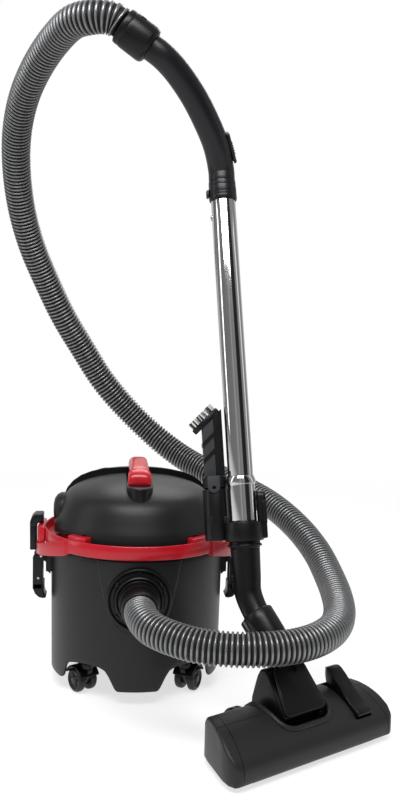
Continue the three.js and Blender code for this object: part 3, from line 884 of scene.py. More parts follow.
@dataclass(frozen=True)
class Studio:
    """The camera, the lights and the floor."""

    eye: Point = (-50.0, -1500.0, 588.0)
    yaw: float = 5.44
    pitch: float = 5.88
    roll: float = 1.5
    view_height: float = 44.12
    room_light: float = 2.4
    panels: tuple[Pair, ...] = (
        (-180, 0.3), (-136, 0.3), (-122, 0.12), (-100, 0.1), (-74, 0.09), (-22, 0.1), (-10, 0.19), (-2, 0.1),
        (20, 0.14), (26, 0.01), (58, 0.01), (70, 0.14), (96, 0.14), (122, 0.12), (136, 0.26), (180, 0.3),
    )

    def build(self) -> None:
        """Makes everything that isn't the machine."""
        self.camera()
        self.lights()
        self.floor()
        self.world()
        bpy.context.scene.view_settings.view_transform = "Standard"

    def camera(self) -> None:
        """The camera, turned by yaw, pitch and roll from looking along +Y."""
        data = bpy.data.cameras.new("camera")
        data.sensor_fit = "VERTICAL"
        data.angle_y = math.radians(self.view_height)
        eye = bpy.data.objects.new("camera", data)
        bpy.context.scene.collection.objects.link(eye)
        turn = spin(-self.yaw) @ spin(90.0 - self.pitch, "X") @ spin(self.roll)
        eye.matrix_world = Matrix.Translation(HOME @ Vector(self.eye)) @ turn
        bpy.context.scene.camera = eye

    def lights(self) -> None:
        """Tall soft boxes at the sides and a broad one above the front."""
        self.soft_box("left_box", (-1700, -260, 900), (0, 0, 350), (340, 1700), 5.0)
        self.soft_box("right_box", (1600, -100, 800), (0, 0, 350), (300, 1500), 1.1)
        self.soft_box("top_box", (-150, -1150, 1900), (0, -50, 250), (1500, 700), 36.0)
        self.soft_box("back_box", (200, 1200, 1700), (0, 0, 300), (1500, 800), 12.0)

    def soft_box(self, name: str, at: Point, aim: Point, size: Pair, power: float) -> None:
        """One rectangular light.

        Args:
            name: The light's name.
            at: Where it stands.
            aim: The point that it faces.
            size: Its width and height.
            power: Its watts.
        """
        data = bpy.data.lights.new(name, "AREA")
        data.shape = "RECTANGLE"
        data.size, data.size_y = size[0] * MM, size[1] * MM
        data.energy = power
        lamp = bpy.data.objects.new(name, data)
        bpy.context.scene.collection.objects.link(lamp)
        way = HOME @ Vector(aim) - HOME @ Vector(at)
        turn = way.to_track_quat("-Z", "Y").to_matrix().to_4x4()
        lamp.matrix_world = Matrix.Translation(HOME @ Vector(at)) @ turn

    def floor(self) -> None:
        """A pale round floor that fades out at its edge."""
        floor = turned("floor", [(0.0, -0.4), (2600.0, -0.4), (2600.0, -3.0), (0.0, -3.0)], 64, False, 0.0)
        moved(floor, HOME)
        recipe = Recipe("pale_floor")
        away = recipe.node("ShaderNodeVectorMath", {"operation": "LENGTH"}, {0: recipe.place()})
        fade = Field(recipe, away.outputs["Value"]).above(1.1, 1.8)
        recipe.surface(
            {
                "Base Color": (0.4, 0.4, 0.4, 1.0),
                "Roughness": 0.8,
                "Specular IOR Level": 0.1,
                "Emission Color": (1.0, 1.0, 1.0, 1.0),
                "Emission Strength": 0.68,
                "Alpha": 1 - fade,
            }
        )
        floor.data.materials.append(recipe.material)

    def world(self) -> None:
        """White behind the machine, and a room of upright light and dark panels in its reflections."""
        world = bpy.data.worlds.new("studio")
        bpy.context.scene.world = world
        world.use_nodes = True
        graph = Graph(world.node_tree)
        way = graph.node("ShaderNodeTexCoord", {}, {}).outputs["Generated"]
        split = graph.node("ShaderNodeSeparateXYZ", {}, {0: way})
        across, deep = Field(graph, split.outputs["X"]), Field(graph, split.outputs["Y"])
        turn = across.bearing(deep * -1.0) * (1 / (2 * math.pi)) + 0.5
        stops = [(angle / 360 + 0.5, (level, level, level, 1.0)) for angle, level in self.panels]
        ramp = graph.node("ShaderNodeValToRGB", {"stops": stops}, {0: turn})
        room = graph.node("ShaderNodeBackground", {}, {"Color": ramp.outputs[0], "Strength": self.room_light})
        backdrop = graph.node("ShaderNodeBackground", {}, {"Color": (1.0, 1.0, 1.0, 1.0)})
        seen = graph.node("ShaderNodeLightPath", {}, {}).outputs["Is Camera Ray"]
        mix = graph.node("ShaderNodeMixShader", {}, {0: seen, 1: room.outputs[0], 2: backdrop.outputs[0]})
        graph.node("ShaderNodeOutputWorld", {}, {0: mix.outputs[0]})


# ---------- hose ----------


@dataclass(frozen=True)
class Hose:
    """The corrugated hose from the drum's inlet to the handle."""

    radius: float = 22.6
    groove: float = 19.4
    bore: float = 18.0
    pitch: float = 6.5
    sides: int = 26
    route: tuple[Point, ...] = (
        (0, -187, 160), (0, -196, 160), (4, -220, 158), (15, -246, 155), (38, -270, 152), (70, -290, 149),
        (112, -302, 148), (156, -303, 148), (197, -291, 148), (232, -267, 149), (260, -231, 151),
        (278, -184, 155), (287, -128, 163), (288, -66, 177), (281, -4, 198), (261, 60, 222), (228, 122, 245),
        (186, 180, 262), (138, 232, 277), (86, 274, 301), (34, 298, 338), (-15, 305, 384), (-59, 298, 436),
        (-97, 284, 496), (-130, 264, 552), (-158, 240, 612), (-180.5, 210, 668), (-194.5, 174, 724),
        (-199.5, 130, 780), (-195.5, 80, 832), (-181, 26, 876), (-158, -28, 910.5), (-129, -80, 938),
        (-102, -121, 952.4), (-80, -138.5, 954.6), (-64, -144.8, 954.8), (-47.6, -146.24, 951.3),
        (-39.3, -146.03, 945.7),
    )

    def build(self) -> None:
        line = Route(self.route)
        count = round(line.length / self.pitch)
        step = line.length / count
        crest = ((0.0, 0.0), (0.12, 0.6), (0.24, 1.0), (0.44, 1.0), (0.56, 0.6), (0.7, 0.0))
        rings, depths = [], []
        for rib in range(count):
            for share, rise in crest:
                rings.append(((rib + share) * step, self.groove + (self.radius - self.groove) * rise))
                depths.append(1.0 - rise)
        rings.append((line.length, self.groove))
        depths.append(1.0)
        hose = pipe_along("ribbed_hose", line, rings, self.bore, self.sides)
        self.mark_grooves(hose, rings, depths)
        finish_piece(hose, Look.HOSE, "canister", ["hose"], crease=180.0)
        path = [tuple(HOME @ p) for p in line.walk([line.length * i / 300 for i in range(301)])]
        round(line.length * MM, 2)

    def mark_grooves(
        self, hose: bpy.types.Object, rings: Sequence[Pair], depths: Sequence[float]
    ) -> None:
        """Stores on each point how deep in a groove it lies, the mask for the hose's painted groove shade.

        Args:
            hose: The hose.
            rings: Its outer rings.
            depths: Each ring's depth, from 0 on a rib to 1 in a groove.
        """
        layer = hose.data.attributes.new("groove", "FLOAT", "POINT")
        outer = len(rings) * self.sides
        values = [depths[i // self.sides] if i < outer else 1.0 for i in range(len(hose.data.vertices))]
        layer.data.foreach_set("value", values)


# ---------- drum and inlet ----------


@dataclass(frozen=True)
class Drum:
    """The drum with its wheel arches, front shield and inlet."""

    radius: float = 131.5
    foot_radius: float = 129.0
    rim: float = 214.0
    wall: float = 3.0
    inlet_height: float = 160.0
    socket_spread: float = 73.0
    columns: int = 288
    rows: int = 22
    edge: tuple[Pair, ...] = (
        (0, 21), (13, 21), (14.5, 23.5), (19, 43), (21.5, 50.5), (26, 54.6), (32, 55.5), (39, 55), (44, 53.5),
        (50.6, 50), (53.4, 45), (56, 28), (58.2, 22.5), (61, 21), (90, 21),
    )

    def build(self) -> None:
        """Makes the drum and what is fixed to it."""
        self.shell()
        self.shield()
        self.inlet()

    def skirt(self, angle: float) -> float:
        """Height of the skirt's edge.

        Args:
            angle: Degrees round from the front.

        Returns:
            The height.
        """
        fold = abs((angle + 180) % 360 - 180)
        fold = min(fold, 180 - fold)
        for (a0, z0), (a1, z1) in zip(self.edge, self.edge[1:]):
            if fold <= a1:
                return z0 + (z1 - z0) * (fold - a0) / (a1 - a0)
        return self.edge[-1][1]

    def wall_radius(self, z: float) -> float:
        """Outer radius of the tapered wall at a height."""
        return self.foot_radius + (self.radius - self.foot_radius) * (z - 21) / (self.rim - 21)

    def shell(self) -> None:
        """The wall with its arches, the raised floor and the rim."""
        points, faces = [], []
        for k in range(self.columns):
            angle = 360 * k / self.columns
            low = self.skirt(angle)
            turn = math.radians(angle)
            for i in range(self.rows):
                z = low + (self.rim - low) * i / (self.rows - 1)
                r = self.wall_radius(z)
                points.append((r * math.sin(turn), -r * math.cos(turn), z))
        for k in range(self.columns):
            j = (k + 1) % self.columns
            for i in range(self.rows - 1):
                a, b = k * self.rows + i, j * self.rows + i
                faces.append((a, b, b + 1, a + 1))
        wall = new_piece("wall", points, faces)
        thicken(wall, self.wall, 0.7)
        floor = turned("floor_pan", [(0, 61), (126.5, 61), (126.5, 58), (0, 58)], 96)
        sockets = [
            moved(
                turned("socket", [(0, 58.5), (11, 58.5), (9.5, 47), (6.2, 47), (6.2, 57.7), (0, 57.7)], 32),
                shift(x, y),
            )
            for x in (-self.socket_spread, self.socket_spread)
            for y in (-self.socket_spread, self.socket_spread)
        ]
        finish_piece(join("drum_shell", [wall, floor, *sockets]), Look.SHELL, "canister", ["drum"])

    def shield(self) -> None:
        """The slightly raised panel round the inlet, wide at the top and rounded below, with a lighter bead
        round its edge as a painted highlight.
        """
        flanks = (
            (214, 26.8), (190, 25.0), (160, 22.0), (140, 19.6), (124, 16.2), (113, 11.6), (107, 6.5),
            (105, 0.4),
        )
        heights = [self.rim - 0.6 - 1.8 * i for i in range(61)]
        columns, points, faces = 28, [], []
        for z in heights:
            half = flanks[-1][1]
            for (z0, w0), (z1, w1) in zip(flanks, flanks[1:]):
                if z1 <= z <= z0:
                    half = w1 + (w0 - w1) * ((z - z1) / (z0 - z1))
            for k in range(columns + 1):
                turn = math.radians(-half + 2 * half * k / columns)
                r = self.wall_radius(z) + 1.1
                points.append((r * math.sin(turn), -r * math.cos(turn), z))
        for i in range(len(heights) - 1):
            for k in range(columns):
                a = i * (columns + 1) + k
                faces.append((a, a + columns + 1, a + columns + 2, a + 1))
        panel = new_piece("front_shield", points, faces)
        thicken(panel, 1.5, 0.5)
        hole = moved(rod("hole", 43, 100, 150, 48, 0.0), shift(z=self.inlet_height) @ FACING_FRONT)
        carve(panel, hole)
        finish_piece(panel, Look.SHELL, "canister")
        # painted highlight: a thin bead round the panel's outline, dressed in lighter grey to stand for the
        # light its edge catches
        outline = [(side * half, z) for side, order in ((-1, flanks), (1, flanks[::-1])) for z, half in order]
        bead_line = []
        for half, z in outline:
            turn, r = math.radians(half), self.wall_radius(z) + 0.9
            bead_line.append((r * math.sin(turn), -r * math.cos(turn), z))
        route = Route(bead_line, 10)
        count = 150
        bead = pipe_along("shield_highlight_bead", route, route.rings(count, 0.85), 0.2, 8)
        finish_piece(bead, Look.TOOL, "canister")

    def inlet(self) -> None:
        """The inlet's bayonet ring, its marks and the hose's swivel cuff."""
        place = shift(z=self.inlet_height) @ FACING_FRONT
        flange = turned(
            "bayonet_ring",
            [
                (26.9, 108), (46, 108), (46, 137.6), (45.3, 138.8), (43.6, 139.2), (42.6, 138.4),
                (41.6, 135.6), (36.4, 135.2), (35.6, 138), (35.2, 141.5), (33.4, 143.2), (31.8, 143),
                (30.6, 141.4), (29.6, 144.6), (26.9, 144.6),
            ],
            112,
            True,
            0.5,
        )
        key = block("key", (-1.3, 36.8, 134.6), (1.3, 42.4, 137.6), 0.5)
        marks = [key]
        for angle in (52, -52, 128, -128):
            tab = block("tab", (-3.6, 37.2, 134.4), (3.6, 41.4, 136.7), 0.7)
            marks.append(moved(tab, spin(angle)))
        for angle in (64, -64):
            pip = turned("pip", [(0, 137.2), (1.6, 137.2), (2.0, 136.6), (2.0, 134.6), (0, 134.6)], 20)
            marks.append(moved(pip, spin(angle) @ shift(y=39.3)))
        ring = join("bayonet_flange", [flange, *marks])
        finish_piece(ring, Look.BLACK, "canister", ["inlet_flange"], place)
        cuff = turned(
            "swivel_cuff",
            [
                (21, 113), (26.5, 113), (26.5, 147), (28.4, 148), (29.2, 150), (29.2, 155), (28.2, 158.5),
                (27.4, 160), (27.6, 166), (27.1, 174), (26.2, 181), (25.2, 184.6), (23.8, 186), (21, 186),
            ],
            96,
            True,
            0.6,
        )
        finish_piece(cuff, Look.BLACK, "canister", ["inlet_cuff"], place)
        for name, angle in (("flange_screw_1", -55), ("flange_screw_2", 55)):
            head = turned(
                "screw", [(0, 137.4), (2.4, 137.2), (3.1, 136.2), (3.1, 134.5), (0, 134.5)], 24, False, 0.3
            )
            slot_cut = block("slot_cut", (-0.5, -4, 136.4), (0.5, 4, 139), 0.0)
            carve(head, slot_cut)
            head.name = name + "_head"
            finish_piece(head, Look.DARK_STEEL, "canister", [name], place @ spin(angle) @ shift(y=38.5))


# ---------- motor head ----------


@dataclass(frozen=True)
class MotorHead:
    """The lifting head: red ring, lid, rear cover, handle and button."""

    body: str = "motor_head"
    lid_profile: tuple[Pair, ...] = (
        (0, 313.4), (20, 313.1), (40, 312), (58, 309.7), (74, 306), (88, 301.4), (99, 296), (106.5, 290.4),
        (112, 283), (116, 274.5), (119.4, 265), (122.6, 257), (125.2, 251), (126.8, 246), (126.8, 231),
    )
    cover_profile: tuple[Pair, ...] = (
        (0, 320.9), (25, 320.7), (50, 319.8), (68, 317.6), (84, 313.4), (98, 307), (109, 298.4), (117, 288),
        (122, 276), (124.6, 264), (125.4, 252), (125.4, 246),
    )
    seam: float = 42.0
    lug_height: float = 262.0
    button_at: Point = (-58.0, 78.0, 306.0)
    button_lean: float = 28.0
    button_hole: float = 13.8
    gland_turn: float = -42.0

    def build(self) -> None:
        """Makes the head."""
        self.ring()
        self.lid()
        self.rear_cover()
        self.handle()
        self.button()

    def ring(self) -> None:
        """The red band with its ears, raised tabs and inner floor."""
        band = turned(
            "band",
            [
                (104, 217.8), (140.8, 217.8), (142.2, 219.4), (142.6, 228), (142.4, 237), (141.6, 238.4),
                (140.2, 238.4), (139.4, 237), (139, 224.4), (117, 224.4), (117, 243), (114, 243), (114, 221),
                (104, 221),
            ],
            160,
            True,
            0.5,
        )
        ears = []
        for side in (1, -1):
            ear = self.ear()
            ears.append(moved(ear, MIRROR_X if side < 0 else Matrix()))
        tabs = [
            moved(block("tab", (-17, -138.6, 224), (17, -122, 243.4), 2.2), spin(angle))
            for angle in (41, -41, 139, -139)
        ]
        finish_piece(join("red_ring", [band, *ears, *tabs]), Look.RED, self.body, ["head_ring"])

    def ear(self) -> bpy.types.Object:
        """One ear: a ramp that falls from the band to the latch, and the latch's slotted plate.

        Returns:
            The ear at +X.
        """
        path = (
            (100, -99, 217.6, 237), (108, -98, 214, 236), (128, -74, 207, 229), (146, -44, 200.5, 219),
            (152, -30, 199.8, 216), (152, 0, 199.8, 216),
        )
        path += tuple((x, -y, low, high) for x, y, low, high in path[-2::-1])
        points, faces = [], []
        for x, y, low, high in path:
            reach = math.hypot(x, y)
            inner = max(139.6 / reach, 1 - 9.0 / reach) if reach > 143 else 0.985
            points += [(x, y, low), (x, y, high), (x * inner, y * inner, high), (x * inner, y * inner, low)]
        for i in range(len(path) - 1):
            a, b = 4 * i, 4 * i + 4
            faces += [(a + k, b + k, b + (k + 1) % 4, a + (k + 1) % 4) for k in range(4)]
        last = 4 * (len(path) - 1)
        ramp = new_piece("ramp", points, [*faces, (0, 1, 2, 3), (last + 3, last + 2, last + 1, last)])
        tidy_normals(ramp)
        bevel(ramp, 1.8, 3, 40.0)
        apply_stack(ramp)
        plate = prism(
            "plate",
            [(139.8, -31), (149, -28), (151, -20), (151, 20), (149, 28), (139.8, 31)],
            206.5,
            241,
            2.2,
        )
        carve(plate, block("slot", (142.9, -9.6, 190), (170, 9.6, 260), 0.0))
        carve(ramp, block("slot", (142.9, -9.6, 190), (170, 9.6, 260), 0.0))
        carve(ramp, block("lever_room", (136, -18.5, 190), (170, 18.5, 205.8), 0.0))
        return join("ear", [ramp, plate])

    def chin(self, angle: float) -> float:
        """Height of the lid's lower edge.

        Args:
            angle: Degrees round from the front.

        Returns:
            The height.
        """
        fold = abs((angle + 180) % 360 - 180)
        rise = min(max((fold - 33.0) / 3.5, 0.0), 1.0)
        fall = min(max((fold - 36.5) / 46.0, 0.0), 1.0)
        return 231.0 + 14.5 * (3 * rise**2 - 2 * rise**3) * (1.0 - fall)

    def dome(
        self,
        name: str,
        profile: Sequence[Pair],
        inset: float,
        edge: Callable[[float], float],
        columns: int = 216,
    ) -> bpy.types.Object:
        """A closed dome whose lower edge may vary round it.

        Args:
            name: The piece's name.
            profile: (radius, height) points from the top down.
            inset: How far it is drawn in and down.
            edge: The lower edge by degrees round from the front.
            columns: How many faces go round.

        Returns:
            The piece, in millimetres.
        """
        rows = [(max(r - inset, 0.0), z - inset) for r, z in profile]
        points: list[Point] = [(0.0, 0.0, rows[0][1])]
        for k in range(columns):
            angle = 360.0 * k / columns
            turn = math.radians(angle)
            low = edge(angle)
            for r, z in rows[1:]:
                points.append((r * math.sin(turn), -r * math.cos(turn), max(z, low)))
            points.append((rows[-1][0] * 0.9 * math.sin(turn), -rows[-1][0] * 0.9 * math.cos(turn), low))
        depth = len(rows)
        faces = []
        for k in range(columns):
            j = (k + 1) % columns
            a, b = 1 + k * depth, 1 + j * depth
            faces.append((0, b, a))
            for i in range(depth - 1):
                faces.append((a + i, b + i, b + i + 1, a + i + 1))
        faces.append(tuple(1 + k * depth + depth - 1 for k in range(columns)))
        shape = new_piece(name, points, faces)
        tidy_normals(shape)
        return shape

    def lid(self) -> None:
        """The charcoal lid, its finger well and its side lugs."""
        lid = self.dome("lid_dome", self.lid_profile, 0.0, self.chin)
        carve(lid, self.dome("lid_inside", self.lid_profile, 2.6, lambda angle: 200.0))
        carve(lid, block("behind", (-200, self.seam - 0.3, 180), (200, 200, 400), 0.0))
        carve(lid, block("well_hole", (-18.5, -42, 262), (18.5, 80, 340), 0.0))
        bevel(lid, 0.9, 2, 40.0)
        apply_stack(lid)
        lugs = []
        for side in (1, -1):
            lug = turned(
                "lug",
                [(0, 128.6), (10, 128.2), (17, 126.4), (22.4, 122.6), (25.4, 117), (26, 104), (0, 104)],
                56,
                False,
                0.6,
            )
            moved(lug, shift(z=self.lug_height) @ ALONG_X)
            carve(lug, block("below", (90, -60, 200), (140, 60, 240), 0.0))
            carve(lug, self.dome("lid_inside", self.lid_profile, 2.0, lambda angle: 200.0))
            lugs.append(moved(lug, MIRROR_X if side < 0 else Matrix()))
        line = []
        for i in range(-36, 37):
            turn = math.radians(2.5 * i)
            line.append((127.0 * math.sin(turn), -127.0 * math.cos(turn), self.chin(2.5 * i) + 0.7))
        route = Route(line, 4)
        edge = pipe_along("edge", route, [(route.length * i / 220, 0.9) for i in range(221)], 0.2, 8)
        finish_piece(join("lid_shell", [lid, *lugs, edge]), Look.SHELL, self.body, ["lid"])
        pan = block("pan", (-35.7, -43.7, 287), (35.7, 40, 330), 3.0)
        carve(pan, block("hollow", (-33.2, -41.2, 289.2), (33.2, 37.6, 360), 6.0))
        carve(pan, self.dome("roof", self.lid_profile, 0.4, lambda angle: 150.0), "INTERSECT")
        finish_piece(pan, Look.BLACK, self.body, ["handle_well"])

    def rear_cover(self) -> None:
        """The black rear cover with its exhaust louvres and cord gland."""
        cover = self.dome("cover_dome", self.cover_profile, 0.0, lambda angle: 246.0)
        carve(cover, block("ahead", (-200, -200, 180), (200, self.seam, 400), 0.0))
        inside = self.dome("cover_inside", self.cover_profile, 2.6, lambda angle: 200.0)
        carve(inside, block("front_wall", (-200, -200, 150), (200, self.seam + 2.6, 400), 0.0))
        carve(cover, inside)
        carve(cover, block("window", (-42, 100, 254), (42, 150, 280), 0.0))
        hole = rod("button_hole", self.button_hole, 280, 340, 48, 0.0)
        carve(cover, moved(hole, shift(*self.button_at[:2])))
        bevel(cover, 1.0, 2, 40.0)
        apply_stack(cover)
        finish_piece(cover, Look.BLACK, self.body, ["rear_cover"])
        louvres = [block("frame", (-41.6, 108.8, 254.4), (41.6, 110.4, 279.6), 0.3)]
        for row in range(7):
            blade = block("blade", (-41.2, 0, -0.8), (41.2, 7.5, 0.8), 0.4)
            louvres.append(moved(blade, shift(y=109, z=256.6 + 3.4 * row) @ spin(-28, "X")))
        for x in (-41, -20.5, 0, 20.5, 41):
            louvres.append(block("post", (x - 0.7, 109, 254.6), (x + 0.7, 115, 279.4), 0.3))
        finish_piece(join("exhaust_louvres", louvres), Look.BLACK, self.body, ["exhaust_grille"])
        bush = [(4.2, 112), (9.6, 112), (9.6, 124.8), (11.4, 125.2), (11.4, 127.6)]
        for i in range(4):
            z = 128 + 3.2 * i
            bush += [
                (8.6 - 0.5 * i, z), (8.6 - 0.5 * i, z + 1.8), (7.2 - 0.5 * i, z + 2.0),
                (7.2 - 0.5 * i, z + 3.0),
            ]
        bush.append((4.2, 141))
        gland = turned("cord_bush", bush, 48, True, 0.3)
        finish_piece(
            gland,
            Look.SEAL,
            self.body,
            ["cord_gland"],
            spin(self.gland_turn) @ shift(z=self.lug_height) @ spin(-90.0, "X"),
        )

    def handle(self) -> None:
        """The carrying handle: red grip over a black bar with a half-round foot."""
        stations = (
            (-74.4, 12, 315.6, 321), (-73.6, 15.6, 313.8, 325), (-71.6, 17.2, 313.6, 328.6),
            (-68, 17.8, 313.6, 331.6), (-62, 17.8, 313.6, 333.8), (-57.2, 17.2, 313.6, 335),
            (-56.8, 17, 321.6, 335.2), (-52, 15.4, 321.6, 336.6), (-44, 14.8, 321.6, 338.4),
            (-30, 14.6, 321.6, 340.2), (-12, 14.6, 321.6, 341.4), (6, 14.6, 321.6, 341.4),
            (22, 14.6, 321.6, 340.4), (36, 14.6, 321.6, 337.6), (46, 14.4, 321.6, 333), (53, 14, 321.6, 327),
            (56, 13, 321.6, 323),
        )
        rings = []
        for y, half, low, high in stations:
            ring: list[Point] = [(half * 0.96, y, low), (half, y, low + 0.6)]
            for i in range(1, 16):
                turn = math.pi * i / 16
                x = math.copysign(abs(math.cos(turn)) ** 0.55, math.cos(turn)) * half
                ring.append((x, y, low + 0.6 + (high - low - 0.6) * math.sin(turn) ** 0.55))
            rings.append(ring + [(-half, y, low + 0.6), (-half * 0.96, y, low)])
        grip = loft("grip", rings)
        finish_piece(grip, Look.RED, self.body, ["handle_grip"])
        bar = side_prism(
            "bar",
            [(-56.6, 321.2), (56, 321.2), (56, 309), (30, 309), (24, 315.4), (-44, 315.4), (-56.6, 315.4)],
            -12.8,
            12.8,
            1.6,
        )
        nose = [(-19.4, -50), (19.4, -50)]
        for i in range(17):
            turn = math.pi * i / 16
            nose.append((19.4 * math.cos(turn), -70 - 33 * math.sin(turn)))
        foot = prism("foot", nose, 268, 313.4, 2.4)
        lid = self.dome("lid_above", self.lid_profile, 1.2, lambda angle: 150.0)
        carve(foot, lid)
        stem = block("stem", (-12.8, -60, 300), (12.8, -43.5, 315.4), 1.6)
        finish_piece(join("handle_bar", [bar, foot, stem]), Look.BLACK, self.body, ["handle_base"])

    def button(self) -> None:
        """The round power button and its bezel, both leaned with the cover's slope."""
        x, y, _ = self.button_at
        slope = Matrix.Rotation(math.radians(self.button_lean), 4, Vector((-y, x, 0.0)))
        place = shift(*self.button_at) @ slope
        rim = [(13.9, -8), (16.4, -8), (16.4, 0.4), (15.8, 1.6), (14.8, 1.9), (13.9, 1.2)]
        bezel = turned("button_bezel", rim, 64, True, 0.4)
        finish_piece(bezel, Look.BLACK, self.body, (), place)
        cap = turned(
            "cap",
            [(0, 1.0), (6, 1.2), (10, 1.9), (11.4, 1.4), (12.1, 0), (12.1, -9), (0, -9)],
            64,
            False,
            0.4,
        )
        finish_piece(cap, Look.RED, "switch", ["power_button"], place)


# ---------- latches ----------


@dataclass(frozen=True)
class Latches:
    """The over-centre latches on the two sides."""

    pivot: Point = (-146.0, 0.0, 192.0)
    hinge: Point = (-150.0, 0.0, 158.0)
    half_width: float = 16.5
    prong: float = 5.4
    tongue: float = 9.7
    pin_radius: float = 2.0

    def build(self) -> None:
        """Makes both latches from the left one."""
        pins = (
            (self.pivot, self.half_width + 0.4, "latch_lever"),
            (self.hinge, self.half_width + 0.8, "latch_hook"),
        )
        for side in ("left", "right"):
            flip = MIRROR_X if side == "right" else Matrix()
            for name, maker in (("latch_lever", self.lever), ("latch_hook", self.hook)):
                finish_piece(moved(maker(), flip), Look.BLACK, f"{side}_{name}", [f"{name}_{side}"])
            finish_piece(moved(self.bracket(), flip), Look.BLACK, "canister", [f"latch_bracket_{side}"])
            for at, reach, body in pins:
                pin = moved(rod("pin", self.pin_radius, -reach, reach, 20, 0.5), shift(*at) @ spin(90, "X"))
                pin.name = f"{body}_pin_{side}"
                finish_piece(moved(pin, flip), Look.STEEL, f"{side}_{body}")

    def slab(
        self, name: str, outline: Sequence[Pair], low: float, high: float, rounding: float = 1.2
    ) -> bpy.types.Object:
        """An outline of (x, z) points, extruded along Y."""
        piece = prism(name, [(x, -z) for x, z in outline], low, high, rounding)
        return moved(piece, spin(90.0, "X") @ Matrix.Diagonal((1.0, -1.0, 1.0, 1.0)))

    def lever(self) -> bpy.types.Object:
        """The lever: a web with its curled tip, and two prongs.

        Returns:
            The left lever.
        """
        web = self.slab(
            "web",
            [
                (-158, 149.5), (-158.4, 142), (-155, 133), (-149, 127.4), (-143, 125.8), (-137.4, 126.8),
                (-140, 130), (-141.6, 136), (-141.6, 149.5),
            ],
            -self.half_width,
            self.half_width,
            1.6,
        )
        prongs = [
            self.slab(
                "prong",
                [
                    (-158.4, 140), (-158.4, 190), (-155.5, 196.5), (-150, 199), (-144, 198), (-140, 194),
                    (-140, 188), (-143.6, 182), (-143.6, 140),
                ],
                low,
                high,
                1.4,
            )
            for low, high in (
                (-self.half_width, self.prong - self.half_width),
                (self.half_width - self.prong, self.half_width),
            )
        ]
        return join("lever", [web, *prongs])

    def hook(self) -> bpy.types.Object:
        """The hook: a tongue between the prongs, a shoulder and the lip over the ear.

        Returns:
            The left hook.
        """
        tongue = self.slab(
            "tongue",
            [(-154.6, 154.6), (-154.6, 206), (-151, 206), (-151, 154.6)],
            -self.tongue,
            self.tongue,
            0.8,
        )
        shoulder = self.slab(
            "shoulder", [(-163, 201), (-163, 240), (-153.6, 240), (-153.6, 201)], -15, 15, 1.6
        )
        lip = self.slab(
            "lip",
            [
                (-163, 203), (-163.4, 244), (-161, 251), (-156, 255.6), (-144.6, 256), (-143.3, 254),
                (-143.3, 243.5), (-152.4, 241), (-153, 237), (-158.6, 235), (-158.6, 203),
            ],
            -13.6,
            13.6,
            1.6,
        )
        cheek = block("cheek", (-151, -20, 190), (-120, -8.8, 243.2), 0.0)
        other = block("cheek_twin", (-151, 8.8, 190), (-120, 20, 243.2), 0.0)
        carve(lip, cheek)
        carve(lip, other)
        return join("hook", [tongue, shoulder, lip])

    def bracket(self) -> bpy.types.Object:
        """The lever's bracket on the drum's wall.

        Returns:
            The left bracket.
        """
        pad = block("pad", (-139, -10.4, 166), (-128, 10.4, 202), 1.4)
        lug = self.slab(
            "lug",
            [(-138, 180), (-138, 200), (-143, 199), (-149.6, 194.6), (-149.6, 189.4), (-144, 184)],
            -9.4,
            9.4,
            1.0,
        )
        rib = self.slab("rib", [(-138.6, 166), (-138.6, 182), (-134, 182), (-132, 160)], -3, 3, 0.6)
        return join("bracket", [pad, lug, rib])


# ---------- casters ----------


